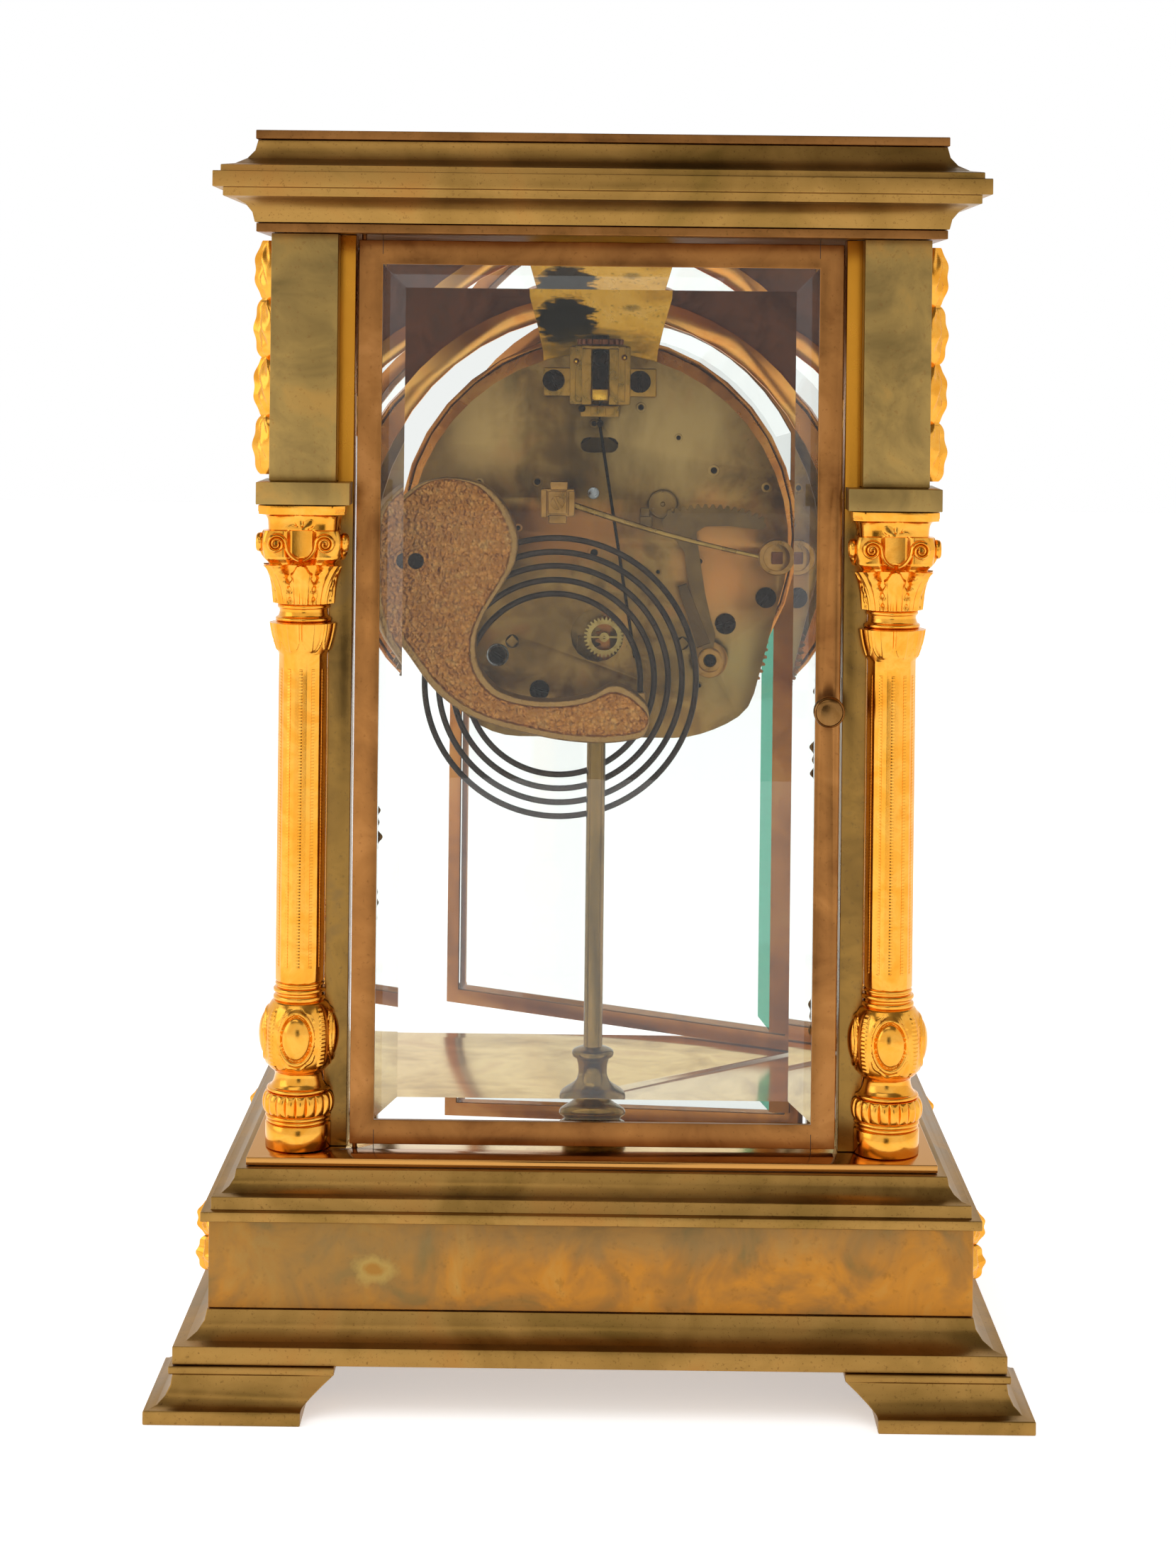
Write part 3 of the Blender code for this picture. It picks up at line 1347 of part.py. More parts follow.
def least_gap(points, radius):
    """The least gap between wires of different turns, measured from point to chord."""
    places = np.array(points)
    start, end = places[:-1], places[1:]
    along = end - start
    best = None
    for at, place in enumerate(places):
        far = np.abs(np.arange(len(start)) - at) > gong_turn_points // 2
        share = np.clip(((place - start) * along).sum(1) / (along ** 2).sum(1), 0, 1)
        gap = np.linalg.norm(start + share[:, None] * along - place, axis=1)[far].min() - 2 * radius
        best = gap if best is None else min(best, gap)
    return best


# Points round the comma-shaped block, as shares of its width and height from its lower tail corner;
# the tail lies to the viewer's right when the clock is seen from behind.
block_shares = (
    (0.77, 1.00), (0.62, 0.98), (0.545, 0.89), (0.50, 0.78), (0.51, 0.68), (0.565, 0.58), (0.615, 0.50),
    (0.65, 0.41), (0.65, 0.32), (0.62, 0.25), (0.555, 0.19), (0.44, 0.16), (0.32, 0.16), (0.22, 0.18),
    (0.14, 0.23), (0.07, 0.20), (0.01, 0.145), (0.00, 0.09), (0.01, 0.03), (0.08, 0.01), (0.19, 0.00),
    (0.33, 0.01), (0.46, 0.035), (0.60, 0.07), (0.71, 0.12), (0.81, 0.20), (0.90, 0.32), (0.96, 0.41),
    (0.995, 0.55), (1.00, 0.75), (0.985, 0.865), (0.915, 0.945))


def build_gong():
    near = gong_plane + gong_wire_radius + seat_gap
    far = near + gong_block_thickness
    left, bottom = on_plate((gong_block_left, gong_block_bottom))
    outline = [(left + across * gong_block_width, bottom + up * gong_block_height)
               for across, up in block_shares]
    block = flat("gong_block", [outline], near, far, gong_gold)
    shape = bmesh.new()
    shape.from_mesh(block.data)
    face = [f for f in shape.faces if f.normal.z < -0.9]
    bmesh.ops.inset_region(shape, faces=face, thickness=gong_block_rim, depth=0, use_even_offset=True)
    bmesh.ops.translate(shape, verts=list({v for f in face for v in f.verts}),
                        vec=(0, 0, gong_block_recess))
    shape.to_mesh(block.data)
    shape.free()
    points = gong_points()
    tail = points[0]
    collet = box("collet", (tail[0] - gong_collet_half, gong_plane - gong_collet_half,
                            tail[2] - seat_gap - gong_collet_height),
                 (tail[0] + gong_collet_half, near + overrun, tail[2] - seat_gap), gong_gold)
    screw_hole = rod("hole", gong_screw_radius, near + gong_block_thickness / 2, far + overrun,
                     on_plate(gong_screw_place), gong_gold)
    block = cut(fused(block, [collet]), [screw_hole])
    coil = tube("gong_coil", points, gong_wire_radius, blued_steel, resolution=1)
    print(f"gong_coil least gap between turns {least_gap(points, gong_wire_radius) * 1000:.2f} mm")
    under = bottom + gong_underside_share(-left / gong_block_width) * gong_block_height
    base_shares = ((0.97, 0.50), (0.93, 0.50), (0.90, 0.42), (0.84, 0.43), (0.66, 0.57), (0.52, 0.72),
                   (0.46, 0.95), (0.40, 1.00), (0.34, 0.90), (0.29, 1.00), (0.22, 0.90), (0.17, 1.00),
                   (0.10, 0.92), (0.05, 1.00), (0.00, 1.00))
    low = floor_top + seat_gap
    profile = [(0, under - seat_gap), (gong_rod_radius, under - seat_gap),
               (gong_rod_radius, low + gong_base_height)]
    profile += [(share * gong_base_radius, low + height * gong_base_height) for height, share in base_shares]
    profile.append((0, low))
    stand = turned("gong_stand", profile, 12, plate_brass)
    stand.location.y = gong_rod_depth
    return [block, coil, stand]


def gong_underside_share(across):
    """How high the block's lower edge lies at a share of its width, between two outline points."""
    lower = [point for point in block_shares if point[1] <= underside_share]
    lower.sort()
    for (x0, z0), (x1, z1) in zip(lower, lower[1:]):
        if x0 <= across <= x1 and x1 > x0:
            return z0 + (z1 - z0) * (across - x0) / (x1 - x0)
    return lower[0][1]


def build_hanger():
    """A bright plate with hollow sides that hangs the movement from the case top."""
    far = back_plate_front - seat_gap
    top = room_top
    bottom = movement_z + plate_radius - hanger_lap
    height = top - bottom
    waist_shares = ((0.0, 1.0), (0.18, 0.62), (0.40, 0.30), (0.62, 0.10), (0.80, 0.0), (1.0, 0.0))
    spread = hanger_top_half - hanger_waist_half
    right = [(hanger_waist_half + spread * share, top - height * down) for down, share in waist_shares]
    left = [(-x, z) for x, z in reversed(right)]
    plate = flat("hanger_bracket", [right + left], far - hanger_thickness, far, yellow_brass)
    flange = box("flange", (-hanger_flange_half, far - hanger_flange_depth, top - hanger_flange_thickness),
                 (hanger_flange_half, far - hanger_thickness / 2, top - seat_gap / 2), yellow_brass)
    return [fused(plate, [flange])]


def build_clock():
    pieces = build_feet() + build_base() + [build_floor()] + build_columns() + build_piers()
    pieces += build_entablature() + build_posts_and_sides() + build_surround()
    pieces += build_rear_door() + build_front_door()
    pieces += build_plates() + build_trains() + build_dial() + build_suspension() + build_crutch()
    pieces += build_rack() + build_hammer() + build_gong() + build_hanger()
    clock = carrier("clock", (0, 0, 0))
    carry(clock, *pieces)
    for piece in pieces:
        if piece.type == "EMPTY":
            piece.rotation_euler.z = piece["turn"]
    clock.location.y = stand_shift
    bpy.context.view_layer.update()
    for name in sorted(o.name for o in clock_parts.objects if o.type == "EMPTY"):
        place = bpy.data.objects[name].matrix_world.translation
        print(f"{name} {place.x:.6f} {place.y:.6f} {place.z:.6f}")


build_clock()
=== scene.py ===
# Crystal regulator clock seen from the rear: aged brass case, gilt columns, bevelled glass, striking movement.
import math

import bmesh
import bpy
import mathutils
import numpy as np
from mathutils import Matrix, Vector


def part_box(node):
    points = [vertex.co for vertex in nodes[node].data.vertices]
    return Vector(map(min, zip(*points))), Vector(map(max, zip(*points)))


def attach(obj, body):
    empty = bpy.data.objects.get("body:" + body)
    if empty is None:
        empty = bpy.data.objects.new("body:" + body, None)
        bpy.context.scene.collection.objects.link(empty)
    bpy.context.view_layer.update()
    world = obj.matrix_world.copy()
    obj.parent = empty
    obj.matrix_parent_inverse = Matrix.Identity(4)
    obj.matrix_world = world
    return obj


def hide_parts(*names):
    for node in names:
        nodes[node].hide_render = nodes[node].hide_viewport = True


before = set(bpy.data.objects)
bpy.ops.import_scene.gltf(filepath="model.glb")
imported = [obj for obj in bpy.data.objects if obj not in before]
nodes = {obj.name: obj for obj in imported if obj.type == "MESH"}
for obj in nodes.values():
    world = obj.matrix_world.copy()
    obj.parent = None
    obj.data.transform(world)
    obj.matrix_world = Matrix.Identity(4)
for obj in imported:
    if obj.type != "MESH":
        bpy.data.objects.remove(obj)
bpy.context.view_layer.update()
mm = 0.001
print("frame loaded:", len(nodes), "nodes")


# small tools for nodes, meshes and pieces

def linearColour(hexText):  # sRGB hex turned to linear light, with full alpha
    srgb = np.array([int(hexText[at:at + 2], 16) for at in (1, 3, 5)]) / 255
    low, high = srgb / 12.92, ((srgb + 0.055) / 1.055) ** 2.4
    return (*np.where(srgb <= 0.04045, low, high).tolist(), 1.0)


def addNode(tree, kind, settings=None, links=None, stops=()):
    # one node with its properties, socket values and inputs, and a ramp's stops as (place, hex) pairs
    node = tree.nodes.new("ShaderNode" + kind)
    for key, value in (settings or {}).items():
        if isinstance(key, int) or key in node.inputs:
            node.inputs[key].default_value = value
        else:
            setattr(node, key, value)
    for key, source in (links or {}).items():
        tree.links.new(source, node.inputs[key])
    for _ in stops[2:]:  # a new ramp has two stops
        node.color_ramp.elements.new(0.5)
    for at, (place, tone) in enumerate(stops):
        node.color_ramp.elements[at].position = place
        node.color_ramp.elements[at].color = linearColour(tone)
    return node


def newMaterial(name):
    material = bpy.data.materials.new(name)
    material.use_nodes = True
    return material, material.node_tree, material.node_tree.nodes["Principled BSDF"]


def patches(tree, size, detail=3.0, roughness=0.55, stretch=(1, 1, 1), distortion=0.0):
    # soft patches about size millimetres across on the object, stretched by a factor along each axis
    place = addNode(tree, "TexCoord").outputs["Object"]
    scaled = addNode(tree, "Mapping", {"Scale": stretch}, {"Vector": place}).outputs["Vector"]
    return addNode(tree, "TexNoise", {"Scale": 1000 / size, "Detail": detail, "Roughness": roughness,
                                      "Distortion": distortion}, {"Vector": scaled}).outputs["Fac"]


def stainShare(tree, place, reach, soft, edge, strength=1.0, stretch=(1, 1, 0.4)):
    # an oval about a place in metres: the distance over its reach, made ragged by patches of edge millimetres
    point = addNode(tree, "TexCoord").outputs["Object"]
    offset = addNode(tree, "VectorMath", {"operation": "SUBTRACT", 1: place}, {0: point}).outputs[0]
    scaled = addNode(tree, "VectorMath", {"operation": "DIVIDE", 1: reach}, {0: offset}).outputs[0]
    length = addNode(tree, "VectorMath", {"operation": "LENGTH"}, {0: scaled}).outputs["Value"]
    ragged = addNode(tree, "Math", {"operation": "MULTIPLY_ADD", 1: 1.6},
                     {0: patches(tree, edge, 4.0, 0.65, stretch), 2: length}).outputs[0]
    return addNode(tree, "MapRange", {"From Min": 1.8 - soft, "From Max": 1.8 + soft, "To Min": strength,
                                      "To Max": 0.0}, {"Value": ragged}).outputs["Result"]


def zoneShare(tree, axis, start, end, mirrored=False):
    # rises from 0 to 1 where one coordinate, or its size when mirrored, runs from start to end in metres
    point = addNode(tree, "TexCoord").outputs["Object"]
    value = addNode(tree, "SeparateXYZ", links={0: point}).outputs[axis]
    if mirrored:
        value = addNode(tree, "Math", {"operation": "ABSOLUTE"}, {0: value}).outputs[0]
    return addNode(tree, "MapRange", {"From Min": start, "From Max": end}, {"Value": value}).outputs["Result"]


def metalFinish(name, tones, cloud, pit, pitTone, grain, roughness, pitShare=0.3, stretch=(1, 1, 1), depth=0.08,
                cloudStretch=(1, 1, 1), metallic=1.0, zones=(), stains=(), dents=None, pebble=None):
    # metal under a cloudy patina between four tones, with dark pits, zones, stains, a fine grain and uneven polish;
    # cloud, pit and grain are sizes in millimetres, and the finest are as coarse as they must be to show
    material, tree, shader = newMaterial(name)
    clouds = patches(tree, cloud, 4.0, 0.6, cloudStretch, 0.6)
    colour = addNode(tree, "ValToRGB", links={"Fac": clouds},
                     stops=tuple(zip((0.30, 0.44, 0.56, 0.70), tones.split()))).outputs["Color"]
    pits = addNode(tree, "MapRange", {"From Min": 0.60, "From Max": 0.72, "To Max": pitShare},
                   {"Value": patches(tree, pit, 2.0, 0.7)}).outputs["Result"]
    bump = addNode(tree, "Bump", {"Strength": depth, "Distance": 0.0002},
                   {"Height": patches(tree, grain, 2.0, 0.6, stretch)}).outputs["Normal"]
    layers = [(pits, pitTone)] + [(zoneShare(tree, *zone), tone) for tone, *zone in zones]
    layers += [(stainShare(tree, *stain), tone) for tone, *stain in stains]
    if dents:
        bump = addNode(tree, "Bump", {"Strength": dents["depth"], "Distance": 0.0010},
                       {"Height": patches(tree, dents["size"], 2.0, 0.5), "Normal": bump}).outputs["Normal"]
    if pebble:  # rounded cells with dark gaps, left out where the mesh marks its smooth rim
        point = addNode(tree, "TexCoord").outputs["Object"]
        cells = addNode(tree, "TexVoronoi", {"Scale": 1000 / pebble["size"]}, {"Vector": point}).outputs["Distance"]
        gap = addNode(tree, "MapRange", {"From Min": 0.25, "From Max": 0.75, "To Max": 0.6}, {"Value": cells})
        rim = addNode(tree, "Attribute", {"attribute_name": "rim"}).outputs["Fac"]
        layers += [(gap.outputs["Result"], pebble["gapTone"]), (rim, pebble["rimTone"])]
        dome = addNode(tree, "MapRange", {"From Max": 0.7, "To Min": 1.0, "To Max": 0.0}, {"Value": cells})
        dome = addNode(tree, "Mix", {"data_type": "FLOAT", 3: 0.6}, {0: rim, 2: dome.outputs["Result"]}).outputs[0]
        bump = addNode(tree, "Bump", {"Strength": pebble["depth"], "Distance": 0.0012},
                       {"Height": dome, "Normal": bump}).outputs["Normal"]
    for share, tone in layers:
        colour = addNode(tree, "Mix", {"data_type": "RGBA", 7: linearColour(tone)}, {0: share, 6: colour}).outputs[2]
    uneven = addNode(tree, "MapRange", {"From Min": 0.3, "From Max": 0.7, "To Min": roughness[0],
                                        "To Max": roughness[1]}, {"Value": clouds}).outputs["Result"]
    shader.inputs["Metallic"].default_value = metallic
    for socket, source in (("Base Color", colour), ("Roughness", uneven), ("Normal", bump)):
        tree.links.new(source, shader.inputs[socket])
    return material


def surfaceMesh(name, grids):
    # grids of points become quads; each is (points, around, along, capped): closed across a row, closed from the
    # last row to the first, or capped at its first and last rows
    places, faces, start = [], [], 0
    for points, around, along, capped in grids:
        rows, cols = points.shape[:2]
        index = np.arange(rows * cols).reshape(rows, cols) + start
        first, last = index[0].tolist(), index[-1].tolist()
        if around:
            index = np.hstack([index, index[:, :1]])
        if along:
            index = np.vstack([index, index[:1]])
        quads = np.stack([index[:-1, :-1], index[:-1, 1:], index[1:, 1:], index[1:, :-1]], axis=-1)
        faces += quads.reshape(-1, 4).tolist()
        if capped:
            faces += [first[::-1], last]
        places.append(points.reshape(-1, 3))
        start += rows * cols
    mesh = bpy.data.meshes.new(name)
    mesh.from_pydata(np.concatenate(places).tolist(), [], faces)
    return mesh


def slab(front, back):  # two grids of the same size joined round their sides into one closed shell
    return np.concatenate([front, back[:, ::-1]], 1), True, False, True


def prism(rings):  # rings of points, one over the other, closed by a cap at each end
    return np.array(rings), True, False, True


def piece(name, grids, material, body="case", stands=None, angle=35, weld=0.00001):
    # a finished piece in its place: welded, outward facing, smooth below the angle, riding on its body
    mesh = surfaceMesh(name, grids) if isinstance(grids, list) else grids
    shape = bmesh.new()
    shape.from_mesh(mesh)
    if weld:
        bmesh.ops.remove_doubles(shape, verts=shape.verts, dist=weld)
    bmesh.ops.dissolve_degenerate(shape, edges=shape.edges, dist=0.000001)
    bmesh.ops.recalc_face_normals(shape, faces=shape.faces)
    shape.to_mesh(mesh)
    shape.free()
    mesh.shade_smooth()
    mesh.set_sharp_from_angle(angle=math.radians(angle))
    obj = bpy.data.objects.new(name, mesh)
    bpy.context.scene.collection.objects.link(obj)
    mesh.materials.clear()
    mesh.materials.append(material)
    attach(obj, body)
    if stands:
        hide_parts(stands)
    return obj


def eased(node, material, width=0.25, body="case"):
    # a copy of a CAD node whose edges sharper than 40 degrees are rounded over, which then stands for the node
    mesh = nodes[node].data.copy()
    mesh.name = node + "_eased"
    shape = bmesh.new()
    shape.from_mesh(mesh)
    bmesh.ops.remove_doubles(shape, verts=shape.verts, dist=0.000002)
    bmesh.ops.dissolve_limit(shape, angle_limit=math.radians(0.5), verts=shape.verts, edges=shape.edges)
    sharp = [e for e in shape.edges if e.is_manifold and e.calc_face_angle() > math.radians(40)]
    bmesh.ops.bevel(shape, geom=sharp, offset=width * mm, segments=2, profile=0.5, affect="EDGES",
                    clamp_overlap=True, loop_slide=True)
    shape.to_mesh(mesh)
    shape.free()
    return piece(node + "_eased", mesh, material, body, node, angle=30, weld=0)


def paint(material, *names):  # gives CAD nodes that keep their shape a better material
    for name in names:
        nodes[name].data.materials.clear()
        nodes[name].data.materials.append(material)


def reshape(obj, change):  # change gets all the piece's points as one array of rows and moves them in place
    points = np.empty(len(obj.data.vertices) * 3)
    obj.data.vertices.foreach_get("co", points)
    change(points.reshape(-1, 3))
    obj.data.vertices.foreach_set("co", points)
    obj.data.update()


def circleAngles(count):
    return np.arange(count) * 2 * math.pi / count


def lathe(profile, centre, steps, axis="y", ripple=None):
    # turns (radius, height) pairs about an axis through the centre; ripple(angle, height) adds to the radius
    radius, height = np.array(profile, float).T
    angle = circleAngles(steps)
    reach = radius[:, None] + (ripple(angle[None, :], height[:, None]) if ripple else 0) * (radius[:, None] > 0)
    across, up = reach * np.cos(angle), reach * np.sin(angle)
    out = height[:, None] + 0 * across
    points = np.stack((across, up, out) if axis == "z" else (across, out, up), -1) * mm + np.array(centre)
    return points, True, False, False


def tubeAlong(path, radius, facing, sides=10, flatten=1.0):
    # rings of a radius about a path that bends in the plane square to facing; flatten squeezes it along facing
    path, facing = np.array(path, float), np.array(facing, float)
    run = np.gradient(path, axis=0)
    run /= np.linalg.norm(run, axis=1, keepdims=True)
    side = np.cross(run, facing)
    side /= np.linalg.norm(side, axis=1, keepdims=True)
    lift = np.cross(side, run)
    angle = circleAngles(sides)
    reach = (np.zeros(len(path)) + radius)[:, None, None]
    ring = np.cos(angle)[None, :, None] * side[:, None] + flatten * np.sin(angle)[None, :, None] * lift[:, None]
    return path[:, None] + reach * ring, True, False, True


def roundedRing(halfX, halfY, radius, steps=4):
    # a rectangle whose corners are quarter circles, as points in turn
    radius = min(radius, halfX * 0.98, halfY * 0.98)
    turn = np.linspace(0, math.pi / 2, steps)
    rings = []
    for quarter, (sx, sy) in enumerate(((1, 1), (-1, 1), (-1, -1), (1, -1))):
        angle = turn + quarter * math.pi / 2
        rings.append(np.stack([sx * (halfX - radius) + radius * np.cos(angle),
                               sy * (halfY - radius) + radius * np.sin(angle)], -1))
    return np.concatenate(rings)


def block(low, high, ease=0.3, steps=3):
    # a box in metres with every edge rounded by ease in millimetres: rounded rings stacked up Z
    low, high = np.array(low, float), np.array(high, float)
    half, middle = (high - low) / 2, (low + high) / 2
    ease = min(ease * mm, half.min() * 0.6)
    bend = np.linspace(0, math.pi / 2, steps)
    inset = np.concatenate([ease * (1 - np.sin(bend)), ease * (1 - np.sin(bend[::-1]))])
    height = np.concatenate([low[2] + ease * (1 - np.cos(bend)), high[2] - ease * (1 - np.cos(bend[::-1]))])
    rings = [np.c_[roundedRing(half[0] - i, half[1] - i, max(ease - i, ease * 0.02)) + middle[:2],
                   np.full(16, h)] for i, h in zip(inset, height)]
    return prism(rings)


def blocks(rows, origin=(0, 0, 0)):
    # boxes as rows of x from, x to, y from, y to, z from, z to and ease, in millimetres from an origin
    x, y, z = origin
    return [block(((x + x0) * mm, (y + y0) * mm, (z + z0) * mm), ((x + x1) * mm, (y + y1) * mm, (z + z1) * mm), ease)
            for x0, x1, y0, y1, z0, z1, ease in rows]


def plaque(outline, near, far, ease):
    # a flat shape in X and Z, as points in metres, with its edges eased by shrinking towards its centre
    outline = np.array(outline, float)
    centre = outline.mean(0)
    small = 1 - ease / np.linalg.norm(outline - centre, axis=1).max()
    inward = math.copysign(ease, far - near)
    rings = []
    for depth, shrink in ((near, small), (near + inward, 1.0), (far - inward, 1.0), (far, small)):
        flat = centre + (outline - centre) * shrink
        rings.append(np.stack([flat[:, 0], np.full(len(flat), depth), flat[:, 1]], -1))
    return prism(rings)


# places shared by the pieces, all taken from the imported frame

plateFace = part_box("back_plate")[1].y
dialCentre = np.array([0.0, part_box("dial")[0].y, (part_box("dial")[0].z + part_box("dial")[1].z) / 2])
photo = dict(centre=(848, 765), turn=math.radians(0.63), pixel=0.2792 * mm)


def platePlace(px, py):  # a pixel of the photograph on the rear face of the movement plate, as X and Z
    right, down = px - photo["centre"][0], py - photo["centre"][1]
    across = right * math.cos(photo["turn"]) + down * math.sin(photo["turn"])
    drop = -right * math.sin(photo["turn"]) + down * math.cos(photo["turn"])
    return -across * photo["pixel"], dialCentre[2] - drop * photo["pixel"]


# finishes, each named for its metal and how its surface was made, with sizes in millimetres; a stain is its tone,
# place and reach in metres, softness, ragged edge, strength and the edge's stretch, and a zone is its tone, axis,
# start and end in metres, and whether both sides have it

# satin brass browned by age: a broad, soft shine under brown clouds and fine pits
agedBrass = metalFinish("agedBrassSatin", "#82642f #957139 #a57e42 #a87a3e", cloud=46, pit=1.1, pitShare=0.5,
                        pitTone="#5c3e1e", grain=0.7, stretch=(0.15, 1, 1), depth=0.1, roughness=(0.3, 0.42))
# rolled sheet: orange, brown and pale green patches under a dull polish, with a ringed spot
friezeBrass = metalFinish("mottledBrassSheet", "#7a6036 #9c6c34 #b67a30 #b88a44", cloud=26, pit=3.0, pitTone="#704e22",
                          grain=0.8, stretch=(0.2, 1, 1), roughness=(0.3, 0.44), stains=(
    ("#7d6a42", (0.1, 0.131, 0.056), (0.05, 0.05, 0.022), 0.5, 9, 0.55),
    ("#8a7650", (-0.02, 0.131, 0.064), (0.09, 0.05, 0.008), 0.6, 7, 0.5),
    ("#b0924e", (0.0785, 0.131, 0.05), (0.0072, 0.03, 0.005), 0.3, 6, 0.6, (1, 1, 1)),
    ("#9a6c30", (0.0785, 0.131, 0.05), (0.0036, 0.03, 0.0022), 0.3, 6, 0.9, (1, 1, 1))))
# cast brass with an even olive patina, nearly dull
pierBrass = metalFinish("olivePatinaBrass", "#7b663c #907645 #a0834b #b28b4b", cloud=22, pit=1.6, pitTone="#80532e",
                        grain=0.5, roughness=(0.34, 0.46))
# brass under old coppery lacquer: warm red brown, drawn upward
copperBrass = metalFinish("copperLacqueredBrass", "#7b4e28 #916133 #a06c39 #b27b45", cloud=30, pit=1.8, pitShare=0.35,
                          pitTone="#5a361b", grain=0.5, stretch=(1, 1, 0.12), depth=0.1, roughness=(0.28, 0.4))
# polished coppery bar: bright orange with clear reflections
archCopper = metalFinish("rollPolishedCopperBrass", "#f09a44 #fcae56 #ffbe64 #ffc674", cloud=26, pit=1.2, pitShare=0.15,
                         pitTone="#a86a30", grain=0.5, depth=0.04, roughness=(0.18, 0.26))
# drawn bar: olive and streaked upward, with a painted reflection of the gilt capitals as a yellow band near its top
yellowBrass = metalFinish("drawnYellowBrass", "#604a26 #7c5e30 #8e6c36 #7c623c", cloud=34, pit=1.6, pitShare=0.35,
                          pitTone="#54412d", grain=0.6, stretch=(1, 1, 0.1), roughness=(0.22, 0.36),
                          zones=(("#c4862a", "Z", 0.316, 0.33),))
# milled plate: a fine grain across it, with brown, golden and grey stains
plateBrass = metalFinish("machinedPlateBrass", "#604822 #866231 #a07c42 #ac7a40", cloud=15, pit=1.2, pitShare=0.5,
                         pitTone="#54401f", grain=0.4, stretch=(0.2, 1, 1), depth=0.1, roughness=(0.3, 0.42), stains=(
    ("#4c3618", (0, 0.039, 0.352), (0.028, 0.05, 0.028), 0.6, 12, 0.9),
    ("#b09058", (-0.03, 0.039, 0.352), (0.024, 0.05, 0.02), 0.6, 10, 0.9),
    ("#c68446", (-0.05, 0.039, 0.296), (0.015, 0.05, 0.022), 0.6, 9, 0.9),
    ("#bc7a3c", (0.012, 0.039, 0.312), (0.024, 0.05, 0.011), 0.5, 7, 0.85),
    ("#54401f", (0.016, 0.039, 0.276), (0.016, 0.05, 0.016), 0.8, 9, 0.6),
    ("#9c8450", (-0.058, 0.039, 0.262), (0.02, 0.05, 0.018), 0.7, 9, 0.8),
    ("#c09c60", (0.052, 0.039, 0.352), (0.018, 0.05, 0.026), 0.6, 9, 0.8),
    ("#5e4222", (-0.02, 0.039, 0.318), (0.012, 0.05, 0.008), 0.6, 6, 0.6)))
# lacquered sheet: clear yellow with small sharp lights
brightBrass = metalFinish("lacqueredSheetBrass", "#a07521 #c89430 #e0ad40 #d8a248", cloud=16, pit=0.9, pitShare=0.5,
                          pitTone="#4a3815", grain=0.3, stretch=(1, 1, 0.2), depth=0.06, roughness=(0.16, 0.28))
# polished floor: pale and mirror-like between the doors, brown outside them
floorBrass = metalFinish("polishedFloorBrass", "#b38f58 #d6b275 #eac88b #dab277", cloud=40, pit=2.0, pitShare=0.15,
                         pitTone="#936e41", grain=0.8, stretch=(0.1, 1, 1), depth=0.01, roughness=(0.12, 0.17),
                         zones=(("#c08a48", "X", 0.0935, 0.0955, True), ("#c08a48", "Y", 0.1045, 0.106)))
# bronzed brass: dark red brown and dull
darkBronze = metalFinish("darkBronzedBrass", "#58301b #6e3f27 #824c31 #744931", cloud=20, pit=1.5, pitShare=0.4,
                         pitTone="#2c1c12", grain=0.6, depth=0.12, roughness=(0.42, 0.55))
# fire gilding: an even deep yellow with soft bright lights
gilt = metalFinish("fireGiltBronze", "#e2962c #eba137 #efac46 #e89c34", cloud=12, pit=0.9, pitShare=0.15,
                   pitTone="#b86f1a", grain=0.35, depth=0.05, roughness=(0.14, 0.24))
# sand-cast iron, bronzed: a pebbled skin with dark gaps and a smooth paler rim
gongBlockIron = metalFinish("bronzedCastIron", "#a86c30 #c4823e #d4944c #dca860", cloud=4, pit=0.9, pitShare=0.7,
                            pitTone="#6e401a", grain=0.5, depth=0.6, roughness=(0.36, 0.5),
                            dents=dict(size=1.1, depth=0.6),
                            pebble=dict(size=1.7, gapTone="#8c5826", rimTone="#a8804a", depth=0.6))
# hardened steel wire: brown black with a dull gleam
gongWire = metalFinish("hardenedSteelWire", "#261c16 #33271f #3e3026 #483a2e", cloud=8, pit=0.8, pitShare=0.4,
                       pitTone="#2a2724", grain=0.4, depth=0.12, roughness=(0.34, 0.46))
# blued steel: nearly black with small clear lights
bluedSteel = metalFinish("bluedSteel", "#0e0806 #170e0a #20150f #1c1210", cloud=4, pit=0.7, pitTone="#15141a",
                         grain=0.2, depth=0.05, roughness=(0.22, 0.34))
# turned steel: plain grey and clear
brightSteel = metalFinish("turnedSteel", "#7f8082 #97989a #a6a7a8 #8c8a86", cloud=4, pit=0.7, pitTone="#4c4a48",
                          grain=0.2, depth=0.05, roughness=(0.22, 0.34))
# lacquered sheet with black and brown smudges of oil
smudgedBrass = metalFinish("smudgedSheetBrass", "#966a1a #b47e22 #cc9632 #d6a24a", cloud=22, pit=1.2, pitShare=0.5,
                           pitTone="#4a3814", grain=0.5, stretch=(1, 1, 0.15), roughness=(0.16, 0.3), stains=(
    ("#120c02", (0.0142, 0.027, 0.3955), (0.012, 0.05, 0.008), 0.1, 3.2, 1.0, (0.25, 1, 1)),
    ("#3c2c0c", (0.002, 0.027, 0.3845), (0.02, 0.05, 0.0065), 0.4, 2.4, 0.8, (0.2, 1, 1)),
    ("#6c5320", (-0.012, 0.027, 0.401), (0.003, 0.05, 0.0012), 0.4, 2, 0.7)))
rackWear = dict(cloud=14, pit=1.2, pitTone="#50391e", grain=0.4, depth=0.1, roughness=(0.36, 0.48))
# stamped brass: brown and dull, painted darker than the plate as painted shade that stands in for the shadow lines
# along the rack's edges
rackBrass = metalFinish("stampedRackBrass", "#5e4724 #6c5230 #7a5e36 #826038", **rackWear)
